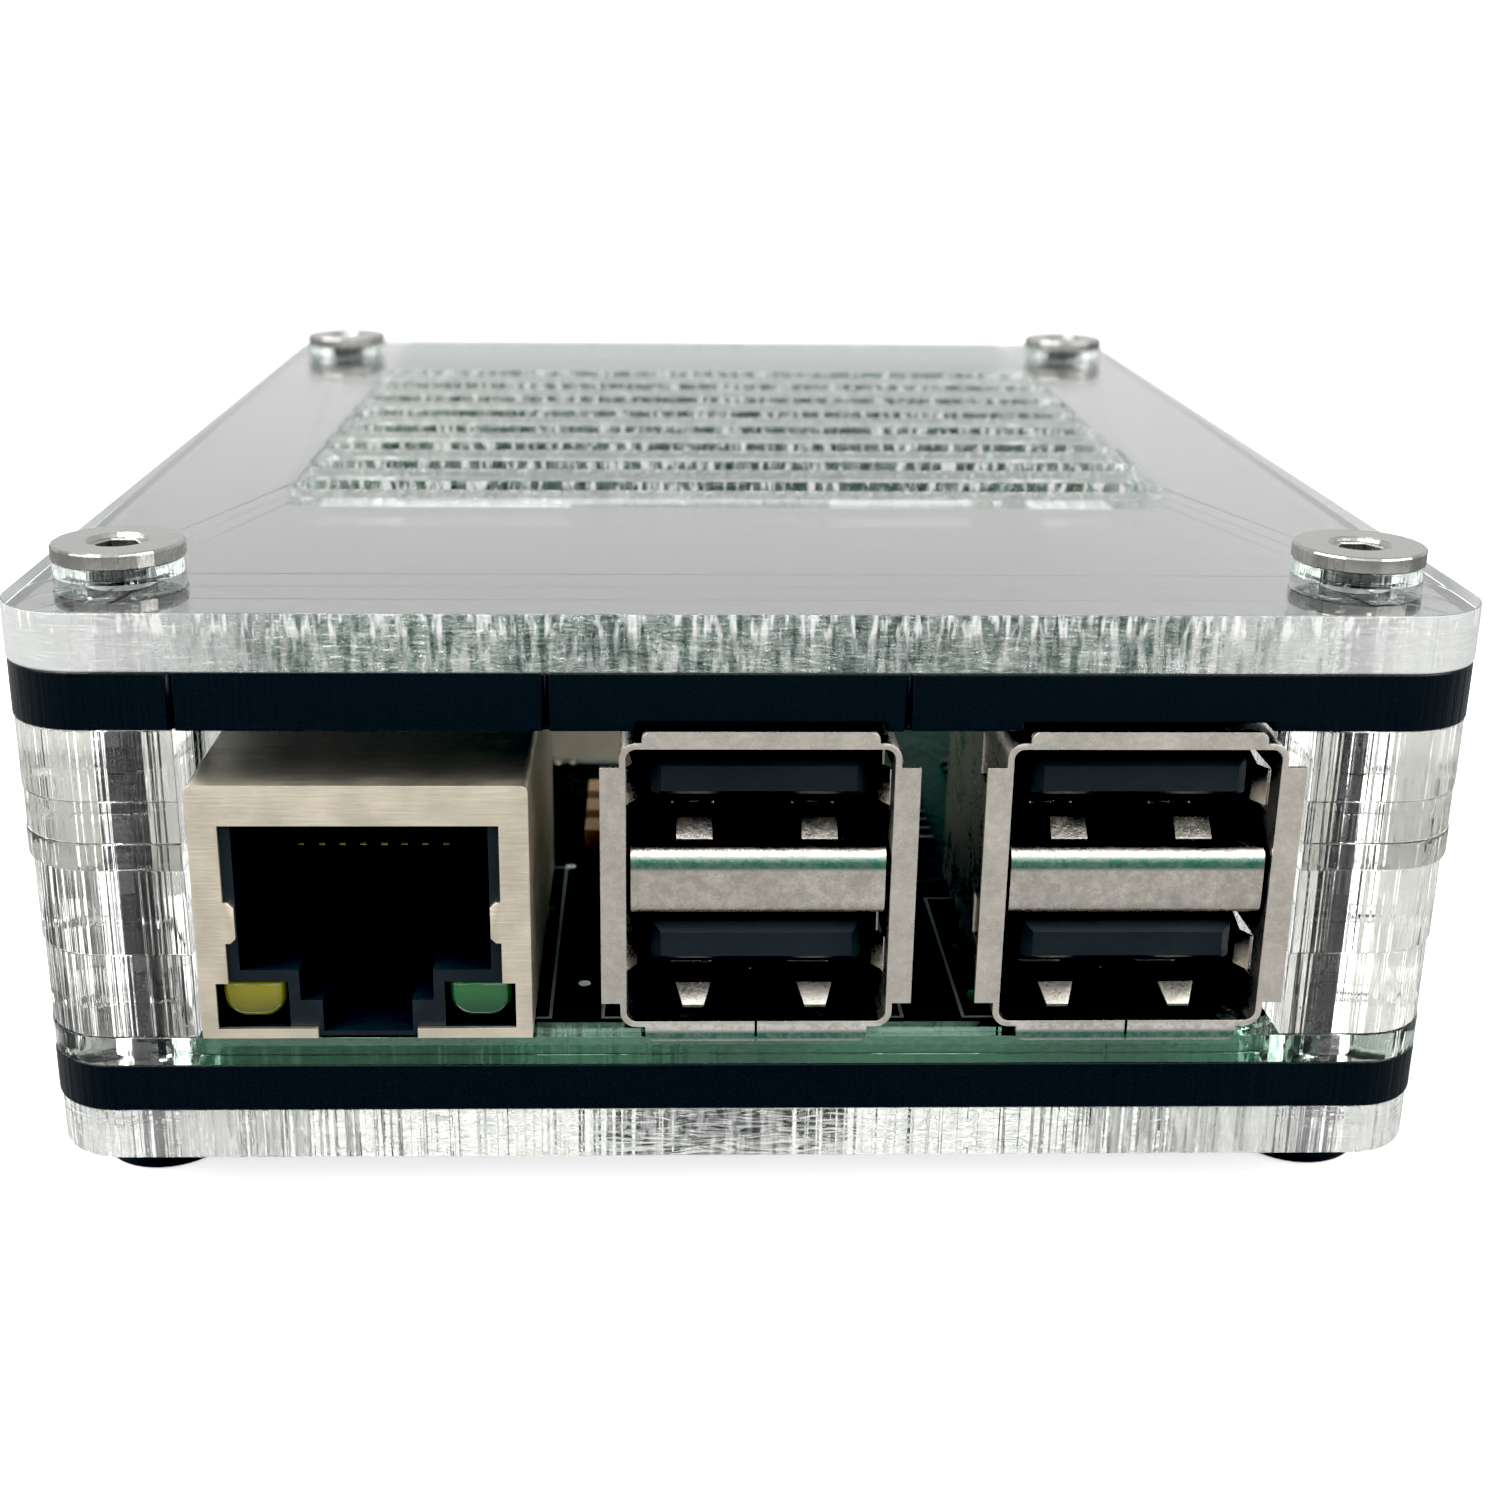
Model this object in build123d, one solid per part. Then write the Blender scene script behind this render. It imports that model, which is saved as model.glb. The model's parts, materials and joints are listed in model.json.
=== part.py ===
from build123d import *
import os

# Single board computer in a stacked acrylic case.
# Ten laser-cut sheets are clamped by four long screws around a credit-card sized computer board.
# Units are millimetres. +Z is up. The origin is the centre of the footprint, on the feet's resting plane.
# The connector end (network jack and USB stacks) faces -Y, and the power and display side faces -X.

os.makedirs("parts", exist_ok=True)

# ---------------------------------------------------------------- driving dimensions
CASE_WIDTH = 69.4
CASE_LENGTH = 91.0
CORNER_RADIUS = 4.0
FOOT_HEIGHT = 3.1
FOOT_RADIUS = 3.3

# Sheets from the bottom up: name, thickness, and how far the sheet's edge sits inside the case outline.
SHEETS = [
    ("bottom_plate", 2.7, 0.45),
    ("lower_frame", 2.5, 0.35),
    ("board_nest", 1.5, 0.35),
    ("wall_lower", 4.4, 0.40),
    ("wall_middle", 4.4, 0.30),
    ("wall_thin", 1.4, 0.10),
    ("wall_spacer", 2.1, 0.15),
    ("wall_upper", 3.5, 0.10),
    ("upper_frame", 2.8, 0.05),
    ("top_plate", 2.8, 0.00),
]

SCREW_EDGE_X = 4.5
SCREW_EDGE_Y = 7.8
SCREW_RADIUS = 1.5
SCREW_HOLE_RADIUS = 1.6
SCREW_LENGTH = 30.0
HEAD_RADIUS = 3.2
HEAD_HEIGHT = 0.8
SOCKET_RADIUS = 1.45
SOCKET_FLATS = 2.0
WASHER_HEIGHT = 0.75

BOARD_WIDTH = 56.0
BOARD_OFFSET = -0.4
BOARD_LENGTH = 85.0
BOARD_THICKNESS = 1.4
BOARD_RADIUS = 3.0
BOARD_SETBACK = 2.1
NEST_GAP = 0.15
MOUNT_HOLE_RADIUS = 1.35
MOUNT_INSET = 3.5
MOUNT_SPACING = 58.0

USB_OVERHANG = 0.3
PIN_PITCH = 2.54
PIN_SIDE = 0.64
PIN_HOLE_RADIUS = 0.5
TAIL_LENGTH = 1.4
SHEET_METAL = 0.3

# ---------------------------------------------------------------- levels and reference planes
SHEET_BASE = {}
SHEET_THICKNESS = {}
SHEET_INSET = {}
level = FOOT_HEIGHT
for sheet_name, sheet_thickness, sheet_inset in SHEETS:
    SHEET_BASE[sheet_name] = level
    SHEET_THICKNESS[sheet_name] = sheet_thickness
    SHEET_INSET[sheet_name] = sheet_inset
    level += sheet_thickness
CASE_TOP = level

FRONT = (USB_OVERHANG - CASE_LENGTH) / 2
BACK = FRONT + CASE_LENGTH
SCREW_X = CASE_WIDTH / 2 - SCREW_EDGE_X
BOARD_LEFT = BOARD_OFFSET - BOARD_WIDTH / 2
BOARD_FRONT = FRONT + BOARD_SETBACK
BOARD_BACK = BOARD_FRONT + BOARD_LENGTH
BOARD_BOTTOM = SHEET_BASE["board_nest"]
BOARD_TOP = BOARD_BOTTOM + BOARD_THICKNESS
TAIL_END = BOARD_BOTTOM - TAIL_LENGTH

# Inside of the wall sheets.
CAVITY_HALF_WIDTH = 27.3
CAVITY_BACK = BOARD_BACK - 0.4
MOUTH_HALF_WIDTH = 26.4
POST_LENGTH = 21.5
SIDE_PORT_FRONT = FRONT + 28.0
SIDE_PORT_BACK = FRONT + 82.5
SIDE_PORT_BACK_UPPER = FRONT + 66.0

# Window and vents.
WINDOW_HALF_WIDTH = 25.0
WINDOW_FRONT = FRONT + 25.0
WINDOW_BACK = BACK - 8.0
SLOT_COUNT = 8
SLOT_PITCH = 6.2
SLOT_WIDTH = 2.4
SLOT_LENGTH = 51.0
FIRST_SLOT = FRONT + 28.5
FLOOR_SLOT_COUNT = 5
FLOOR_SLOT_LENGTH = 15.0
CARD_NOTCH_HALF_WIDTH = 7.6

# Connectors on the board, as distances across it from its -X edge and along it from its -Y edge.
JACK_ACROSS = 10.25
USB_ACROSS = {"left": 29.0, "right": 47.0}


# ---------------------------------------------------------------- helpers
def span(x0, x1, y0, y1, z0, z1):
    """Box between two corners."""
    return Pos((x0 + x1) / 2, (y0 + y1) / 2, (z0 + z1) / 2) * Box(x1 - x0, y1 - y0, z1 - z0)


def rod(x, y, z0, z1, radius):
    """Vertical cylinder between two heights."""
    return Pos(x, y, (z0 + z1) / 2) * Cylinder(radius, z1 - z0)


def rounded_block(x0, x1, y0, y1, z0, z1, radius):
    """Box with its vertical edges rounded."""
    outline = RectangleRounded(x1 - x0, y1 - y0, radius)
    return Pos((x0 + x1) / 2, (y0 + y1) / 2, z0) * extrude(outline, z1 - z0)


def on_board(across, along):
    """Position in the case of a place on the board."""
    return BOARD_LEFT + across, BOARD_FRONT + along


def chip(across, along, width, length, height, base=BOARD_TOP, radius=0.15):
    """Low package standing on the board, centred on a place on the board."""
    x, y = on_board(across, along)
    return rounded_block(x - width / 2, x + width / 2, y - length / 2, y + length / 2,
                         base, base + height, radius)


def screw_places():
    """Centres of the four case screws."""
    return [(x, y) for x in (-SCREW_X, SCREW_X) for y in (FRONT + SCREW_EDGE_Y, BACK - SCREW_EDGE_Y)]


def mount_places():
    """Centres of the board's four mounting holes."""
    rear = BOARD_LENGTH - MOUNT_INSET
    return [on_board(across, along)
            for across in (MOUNT_INSET, BOARD_WIDTH - MOUNT_INSET)
            for along in (rear, rear - MOUNT_SPACING)]


def group(shapes):
    """Separate solids kept together in one node."""
    return Compound(children=list(shapes))


# ---------------------------------------------------------------- case sheets
def sheet(name):
    """Plain sheet with rounded corners and the four screw holes."""
    inset = SHEET_INSET[name]
    base, thickness = SHEET_BASE[name], SHEET_THICKNESS[name]
    half_x = CASE_WIDTH / 2 - inset
    blank = rounded_block(-half_x, half_x, FRONT + inset, BACK - inset, base, base + thickness,
                          CORNER_RADIUS - inset)
    for x, y in screw_places():
        blank -= rod(x, y, base, base + thickness, SCREW_HOLE_RADIUS)
    return blank


def through(name, x0, x1, y0, y1, radius):
    """Rounded cut-out that goes through a sheet."""
    base, thickness = SHEET_BASE[name], SHEET_THICKNESS[name]
    return rounded_block(x0, x1, y0, y1, base, base + thickness, radius)


def top_plate():
    plate = sheet("top_plate")
    for i in range(SLOT_COUNT):
        y = FIRST_SLOT + i * SLOT_PITCH
        plate -= through("top_plate", -SLOT_LENGTH / 2, SLOT_LENGTH / 2,
                         y - SLOT_WIDTH / 2, y + SLOT_WIDTH / 2, SLOT_WIDTH / 2 - 0.01)
    return plate


def upper_frame():
    """Black frame under the lid: window, relief for the USB lips and scored break lines."""
    frame = sheet("upper_frame")
    frame -= through("upper_frame", BOARD_OFFSET - WINDOW_HALF_WIDTH, BOARD_OFFSET + WINDOW_HALF_WIDTH,
                     WINDOW_FRONT, WINDOW_BACK, 1.5)
    base = SHEET_BASE["upper_frame"]
    lip_relief_half, lip_relief_depth, lip_relief_height = 5.8, 1.4, 0.45
    for across in USB_ACROSS.values():
        x, _ = on_board(across, 0)
        frame -= span(x - lip_relief_half, x + lip_relief_half,
                      FRONT - 1, FRONT + lip_relief_depth, base, base + lip_relief_height)
    score_depth, score_half_width = 0.2, 0.12
    front_face = FRONT + SHEET_INSET["upper_frame"]
    for x in (-26.4, -9.3, 7.4):
        frame -= span(x - score_half_width, x + score_half_width,
                      front_face - 1, front_face + score_depth, base, base + SHEET_THICKNESS["upper_frame"])
    return frame


def wall(name):
    """Wall sheet, open at the connector end between two thicker front posts."""
    base, thickness = SHEET_BASE[name], SHEET_THICKNESS[name]
    top = base + thickness
    ring = sheet(name)
    ring -= rounded_block(-CAVITY_HALF_WIDTH, CAVITY_HALF_WIDTH, FRONT + POST_LENGTH, CAVITY_BACK,
                          base, top, 1.0)
    ring -= span(-MOUTH_HALF_WIDTH, MOUTH_HALF_WIDTH, FRONT - 1, FRONT + POST_LENGTH + 2, base, top)
    return ring


def split_wall(name, gap_back):
    """Wall sheet interrupted on the -X side for plugs, as its (main piece, loose front corner)."""
    base, thickness = SHEET_BASE[name], SHEET_THICKNESS[name]
    gap = span(-CASE_WIDTH, -CAVITY_HALF_WIDTH + 1.0, SIDE_PORT_FRONT, gap_back, base, base + thickness)
    pieces = (wall(name) - gap).solids().sort_by(SortBy.VOLUME)
    return pieces[-1], pieces[0]


def board_nest():
    """Thin sheet whose pocket holds the board, notched where the side ports overhang the board."""
    nest = sheet("board_nest") - through(
        "board_nest", BOARD_LEFT - NEST_GAP, BOARD_LEFT + BOARD_WIDTH + NEST_GAP,
        BOARD_FRONT - NEST_GAP, BOARD_BACK + NEST_GAP, BOARD_RADIUS + NEST_GAP)
    base, thickness = SHEET_BASE["board_nest"], SHEET_THICKNESS["board_nest"]
    clearance = 0.3
    for along, half_width, overhang in (
        (HDMI_ALONG, HDMI_HALF_WIDTH, HDMI_OVERHANG),
        (POWER_ALONG, POWER_HALF_WIDTH, POWER_OVERHANG),
        (AUDIO_ALONG, AUDIO_NOSE_RADIUS, AUDIO_OVERHANG),
    ):
        _, y = on_board(0, along)
        nest -= span(BOARD_LEFT - overhang - clearance, BOARD_LEFT + 1,
                     y - half_width - clearance, y + half_width + clearance, base, base + thickness)
    return nest


def lower_frame():
    """Black frame that carries the board's edges, notched at the back for the memory card."""
    frame = sheet("lower_frame")
    side_ledge, front_ledge, back_ledge = 1.3, 1.6, 4.0
    frame -= through("lower_frame", BOARD_LEFT + side_ledge, BOARD_LEFT + BOARD_WIDTH - side_ledge,
                     BOARD_FRONT + front_ledge, BOARD_BACK - back_ledge, 1.5)
    base, thickness = SHEET_BASE["lower_frame"], SHEET_THICKNESS["lower_frame"]
    return frame - span(BOARD_OFFSET - CARD_NOTCH_HALF_WIDTH, BOARD_OFFSET + CARD_NOTCH_HALF_WIDTH,
                        BOARD_BACK - back_ledge - 2, BACK + 1, base, base + thickness)


def bottom_plate():
    """Clear floor with vent slots and a finger notch below the memory card."""
    plate = sheet("bottom_plate")
    for i in range(FLOOR_SLOT_COUNT):
        y = FIRST_SLOT + i * SLOT_PITCH
        plate -= through("bottom_plate", -FLOOR_SLOT_LENGTH / 2, FLOOR_SLOT_LENGTH / 2,
                         y - SLOT_WIDTH / 2, y + SLOT_WIDTH / 2, SLOT_WIDTH / 2 - 0.01)
    base, thickness = SHEET_BASE["bottom_plate"], SHEET_THICKNESS["bottom_plate"]
    notch_radius = 9.0
    return plate - rod(BOARD_OFFSET, BACK, base, base + thickness, notch_radius)


# ---------------------------------------------------------------- fasteners and feet
def case_screws():
    """Four low-head screws with a hexagon socket, each through every sheet."""
    seat = CASE_TOP + WASHER_HEIGHT
    socket_depth = 0.6
    screws = []
    for x, y in screw_places():
        head = rod(x, y, seat, seat + HEAD_HEIGHT, HEAD_RADIUS)
        head = chamfer(head.edges().group_by(Axis.Z)[-1], 0.12)
        shank = rod(x, y, seat - SCREW_LENGTH, seat, SCREW_RADIUS)
        shank = chamfer(shank.edges().group_by(Axis.Z)[0], 0.3)
        screw = head + shank
        screw -= rod(x, y, seat + HEAD_HEIGHT - 0.25, seat + HEAD_HEIGHT, SOCKET_RADIUS)
        hexagon = RegularPolygon(SOCKET_FLATS / 2, 6, major_radius=False)
        screw -= Pos(x, y, seat + HEAD_HEIGHT - 0.25 - socket_depth) * extrude(hexagon, socket_depth)
        screws.append(screw)
    return group(screws)


def screw_washers():
    """Clear plastic washers under the screw heads."""
    return group(rod(x, y, CASE_TOP, CASE_TOP + WASHER_HEIGHT, HEAD_RADIUS - 0.05)
                 - rod(x, y, CASE_TOP, CASE_TOP + WASHER_HEIGHT, SCREW_HOLE_RADIUS)
                 for x, y in screw_places())


def foot_nuts():
    """Round cap nuts that close the screws below the bottom plate and serve as feet."""
    nut = rod(0, 0, 0, FOOT_HEIGHT, FOOT_RADIUS)
    nut = fillet(nut.edges().group_by(Axis.Z)[0], 0.3)
    floor = 0.8
    nut -= rod(0, 0, floor, FOOT_HEIGHT, SCREW_RADIUS)
    return group(Pos(x, y, 0) * nut for x, y in screw_places())


# ---------------------------------------------------------------- pin headers
HEADER_COLUMNS = 20
HEADER_CENTRE = (52.5, 52.5)
POE_CENTRE = (45.9, 22.8)


def header_places(centre, columns):
    """Pin centres of a two-row header whose rows run along the board."""
    return [(centre[0] + (row - 0.5) * PIN_PITCH, centre[1] + (column - (columns - 1) / 2) * PIN_PITCH)
            for column in range(columns) for row in (0, 1)]


def header_base(centre, columns, height=2.5):
    """Moulded base of a pin header: one chamfered cell per pin pair, pierced for the pins."""
    cell = Pos(0, 0, BOARD_TOP) * extrude(
        chamfer(Rectangle(2 * PIN_PITCH, PIN_PITCH).vertices(), 0.5), height)
    base = Part()
    for column in range(columns):
        x, y = on_board(centre[0], centre[1] + (column - (columns - 1) / 2) * PIN_PITCH)
        base += Pos(x, y, 0) * cell
    clear = PIN_SIDE / 2 + 0.01
    holes = []
    for across, along in header_places(centre, columns):
        x, y = on_board(across, along)
        holes.append(span(x - clear, x + clear, y - clear, y + clear, BOARD_TOP, BOARD_TOP + height))
    return base - holes


def header_pins(pin_top=8.5):
    """Square pins of both headers, through the base and the board."""
    tip = 0.2
    half = PIN_SIDE / 2
    pins = []
    for across, along in header_places(HEADER_CENTRE, HEADER_COLUMNS) + header_places(POE_CENTRE, 2):
        x, y = on_board(across, along)
        pin = span(x - half, x + half, y - half, y + half, TAIL_END, BOARD_TOP + pin_top)
        pins.append(chamfer(pin.edges().group_by(Axis.Z)[-1], tip))
    return group(pins)


# ---------------------------------------------------------------- network jack
JACK_WIDTH = 15.9
JACK_HEIGHT = 13.0
JACK_DEPTH = 21.3
JACK_SHEET = 0.25
JACK_X = BOARD_LEFT + JACK_ACROSS
JACK_BASE = BOARD_TOP + 0.25
JACK_TOP = JACK_BASE + JACK_HEIGHT
JACK_MOUTH_HALF = 6.55
JACK_MOUTH_TOP = JACK_BASE + 11.0
LED_HALF_WIDTH = 1.5
LED_X = 5.45
LED_BOTTOM = JACK_BASE + 0.85
LED_TOP = JACK_BASE + 2.85
JACK_PIN_PITCH = 1.27
JACK_PIN_ALONG = (9.0, 11.54)
JACK_LEG_ALONG = 13.5


def jack_mouth(front, back, grow=0.0):
    """Space for the plug: body, shoulder and latch channel, from the wide top to the narrow bottom."""
    steps = [(6.0 + grow, 3.5, 11.0), (3.2 + grow, 1.9, 3.6), (2.15 + grow, 0.25, 2.0)]
    mouth = Part()
    for half, low, high in steps:
        mouth += span(JACK_X - half, JACK_X + half, front, back, JACK_BASE + low, JACK_BASE + high)
    return mouth


def ethernet_shield():
    """Folded metal can of the jack, open underneath, with the plug mouth and LED corners cut in its face."""
    half = JACK_WIDTH / 2
    back = FRONT + JACK_DEPTH
    can = span(JACK_X - half, JACK_X + half, FRONT, back, JACK_BASE, JACK_TOP)
    can = fillet(can.edges().filter_by(Axis.Y).group_by(Axis.Z)[-1], 0.35)
    can -= span(JACK_X - half + JACK_SHEET, JACK_X + half - JACK_SHEET, FRONT + JACK_SHEET,
                back - JACK_SHEET, JACK_BASE - 1, JACK_TOP - JACK_SHEET)
    face_front, face_back = FRONT - 1, FRONT + JACK_SHEET + 0.01
    led_corner_half = half - 0.78
    can -= span(JACK_X - JACK_MOUTH_HALF, JACK_X + JACK_MOUTH_HALF, face_front, face_back,
                JACK_BASE + 0.5, JACK_MOUTH_TOP)
    can -= span(JACK_X - led_corner_half, JACK_X + led_corner_half, face_front, face_back,
                JACK_BASE + 0.5, JACK_BASE + 2.9)
    latch_gap_half = 2.4
    can -= span(JACK_X - latch_gap_half, JACK_X + latch_gap_half, face_front, face_back,
                JACK_BASE - 1, JACK_BASE + 1)
    tab_bottom, tab_top, tab_reach = JACK_BASE + 5.0, JACK_BASE + 7.1, 0.5
    for side in (-1, 1):
        edge = JACK_X + side * JACK_MOUTH_HALF
        inner = edge - side * tab_reach
        tab = span(min(edge, inner), max(edge, inner), FRONT, FRONT + JACK_SHEET, tab_bottom, tab_top)
        free_corners = [e for e in tab.edges().filter_by(Axis.Y) if abs(e.center().X - inner) < 0.01]
        can += chamfer(free_corners, 0.25)
    for side in (-1, 1):
        leg_x = JACK_X + side * (half - JACK_SHEET / 2)
        _, leg_y = on_board(0, JACK_LEG_ALONG)
        can += span(leg_x - JACK_SHEET / 2, leg_x + JACK_SHEET / 2, leg_y - 0.6, leg_y + 0.6,
                    TAIL_END, JACK_BASE + 1)
    return can


def jack_pin_places():
    """Places of the jack's eight signal tails, in two staggered rows."""
    return [(JACK_ACROSS + (i - 3.5) * JACK_PIN_PITCH, JACK_PIN_ALONG[i % 2]) for i in range(8)]


def ethernet_housing():
    """Black moulding inside the can: plug cavity, latch channel and pockets for the two LEDs."""
    half = JACK_WIDTH / 2 - JACK_SHEET - 0.02
    front, back = FRONT + JACK_SHEET + 0.02, FRONT + JACK_DEPTH - JACK_SHEET - 0.02
    block = span(JACK_X - half, JACK_X + half, front, back, JACK_BASE, JACK_TOP - JACK_SHEET - 0.02)
    cavity_depth = 14.5
    block -= jack_mouth(front - 1, FRONT + cavity_depth)
    pocket_half = LED_HALF_WIDTH + 0.2
    led_pocket_depth = 6.0
    for side in (-1, 1):
        x = JACK_X + side * LED_X
        block -= span(x - pocket_half, x + pocket_half, front - 1, front + led_pocket_depth,
                      JACK_BASE + 0.5, LED_TOP + 0.02)
    stand_half, stand_length = 7.0, 2.0
    for along in (1.0, 16.0):
        _, y = on_board(0, along)
        block += span(JACK_X - stand_half, JACK_X + stand_half, y, y + stand_length, BOARD_TOP, JACK_BASE + 0.1)
    block -= jack_mouth(front - 1, FRONT + cavity_depth)
    pin_radius = 0.24
    for across, along in jack_pin_places():
        x, y = on_board(across, along)
        block -= rod(x, y, BOARD_TOP, JACK_BASE + 12.0, pin_radius)
    return block


def ethernet_contacts():
    """Eight sprung contact wires that slope down into the plug cavity, each with its solder tail."""
    contacts = []
    wire = 0.32
    contact_pitch = 1.02
    root_y, tip_y = FRONT + 14.4, FRONT + 6.0
    root_z, tip_z = JACK_BASE + 10.6, JACK_BASE + 7.4
    for i in range(8):
        x = JACK_X + (i - 3.5) * contact_pitch
        path = Plane.YZ.offset(x) * Polyline((root_y, root_z), (root_y - 1.5, root_z), (tip_y, tip_z),
                                             (tip_y - 1.2, tip_z + 0.9))
        start = Plane(path @ 0, z_dir=path % 0)
        contacts.append(sweep(start * Rectangle(wire, wire), path=path, transition=Transition.RIGHT))
    tail_radius = 0.23
    for across, along in jack_pin_places():
        x, y = on_board(across, along)
        contacts.append(rod(x, y, TAIL_END, JACK_BASE + 0.25, tail_radius))
    return group(contacts)


def ethernet_led(side):
    """Light pipe of one jack LED: flat top, domed face and a rounded lower half."""
    x = JACK_X + side * LED_X
    front, length = FRONT + 0.45, 5.0
    lower_radius, dome_radius = 1.15, 0.4
    lens = span(x - LED_HALF_WIDTH, x + LED_HALF_WIDTH, front, front + length, LED_BOTTOM, LED_TOP)
    lens = fillet(lens.edges().filter_by(Axis.Y).group_by(Axis.Z)[0], lower_radius)
    return fillet(lens.faces().sort_by(Axis.Y)[0].edges(), dome_radius)


# ---------------------------------------------------------------- USB stacks
USB_FRONT = FRONT - USB_OVERHANG
USB_WIDTH = 13.1
USB_DEPTH = 17.7
USB_SHELL_BOTTOM = BOARD_TOP + 0.95
USB_SHELL_TOP = BOARD_TOP + 15.45
USB_LIP_HALF = 7.46
USB_DIVIDER_BOTTOM = BOARD_TOP + 6.65
USB_DIVIDER_TOP = BOARD_TOP + 10.05
USB_DIVIDER_WIDTH = 12.1
USB_CAVITY_DEPTH = 9.4
USB_TONGUE_HALF = 5.1
USB_TONGUE_DEPTH = 1.9
USB_TONGUE_DROP = 0.75
USB_FINGER_X = 3.0
USB_FINGER_WIDTH = 1.75
FINGER_SETBACK = 1.9
FINGER_WINDOW_LENGTH = 5.0
USB_CONTACT_X = (-3.5, -1.0, 1.0, 3.5)
USB_TAIL_ALONG = (11.2, 13.2)
USB_LEG_ALONG = (2.6, 8.3)


def usb_x(side):
    """Centre of a USB stack across the case."""
    return BOARD_LEFT + USB_ACROSS[side]


def usb_port_levels():
    """Floor and ceiling of the lower and the upper port."""
    return [(USB_SHELL_BOTTOM + SHEET_METAL, USB_DIVIDER_BOTTOM),
            (USB_DIVIDER_TOP, USB_SHELL_TOP - SHEET_METAL)]


def usb_lips():
    """Lead-in lips around the mouth of a stack centred on x = 0, rounded where they bend out of the shell."""
    lip_back = USB_FRONT + SHEET_METAL
    half = USB_WIDTH / 2
    side_bottom, side_top = BOARD_TOP + 2.2, BOARD_TOP + 14.25
    top_half, bottom_half = 5.5, 5.35
    corner = 0.4
    lips = Part()
    for side in (-1, 1):
        outer, inner = side * USB_LIP_HALF, side * (half - SHEET_METAL)
        lip = span(min(outer, inner), max(outer, inner), USB_FRONT, lip_back, side_bottom, side_top)
        bend = [e for e in lip.edges().filter_by(Axis.Z)
                if abs(e.center().X - inner) < 0.01 and abs(e.center().Y - USB_FRONT) < 0.01]
        lips += fillet(bend, 0.25)
    top = span(-top_half, top_half, USB_FRONT, lip_back, USB_SHELL_TOP - SHEET_METAL, BOARD_TOP + 16.0)
    top = fillet(top.edges().filter_by(Axis.Y).group_by(Axis.Z)[-1], corner)
    bend = top.edges().filter_by(Axis.X).group_by(Axis.Z)[0].sort_by(Axis.Y)[0]
    lips += fillet(bend, 0.25)
    bottom = span(-bottom_half, bottom_half, USB_FRONT, lip_back, BOARD_TOP + 0.2, USB_SHELL_BOTTOM + SHEET_METAL)
    bottom = fillet(bottom.edges().filter_by(Axis.Y).group_by(Axis.Z)[0], corner)
    bend = bottom.edges().filter_by(Axis.X).group_by(Axis.Z)[-1].sort_by(Axis.Y)[0]
    return lips + fillet(bend, 0.25)


def usb_finger_floor(x, floor_z, tip_narrowing=0.0):
    """Sprung finger pressed up out of a port's floor, optionally narrower towards its free front end."""
    length, rise, ramp_length, thickness = 5.0, 0.8, 0.9, 0.2
    y0 = USB_FRONT + FINGER_SETBACK
    crest_y, end_y = y0 + ramp_length, y0 + length
    profile = Plane.YZ.offset(x - USB_FINGER_WIDTH / 2) * Polygon(
        (y0, floor_z - thickness), (crest_y, floor_z + rise - thickness), (end_y, floor_z - thickness),
        (end_y, floor_z), (crest_y, floor_z + rise), (y0, floor_z), align=None)
    finger = extrude(profile, USB_FINGER_WIDTH, dir=(1, 0, 0))
    if tip_narrowing == 0:
        return finger
    half = USB_FINGER_WIDTH / 2
    margin = 0.1
    outline = Polygon((x - half + tip_narrowing, y0 - margin), (x + half - tip_narrowing, y0 - margin),
                      (x + half, crest_y), (x + half, end_y + margin),
                      (x - half, end_y + margin), (x - half, crest_y), align=None)
    return finger & (Pos(0, 0, floor_z - 0.5) * extrude(outline, 2.0, dir=(0, 0, 1)))


def usb_finger_side(side, z, wall_x):
    """Sprung finger pressed inwards out of a side wall."""
    length, reach, height = 5.0, 0.5, 1.8
    y0 = USB_FRONT + FINGER_SETBACK
    inner = wall_x - side * 0.2
    profile = Plane.XY.offset(z - height / 2) * Polygon(
        (wall_x, y0), (wall_x - side * reach, y0 + 0.8), (wall_x, y0 + length),
        (wall_x + side * 0.2, y0 + length), (inner - side * (reach - 0.4), y0 + 0.8), (wall_x + side * 0.2, y0),
        align=None)
    return extrude(profile, height, dir=(0, 0, 1))


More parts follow.
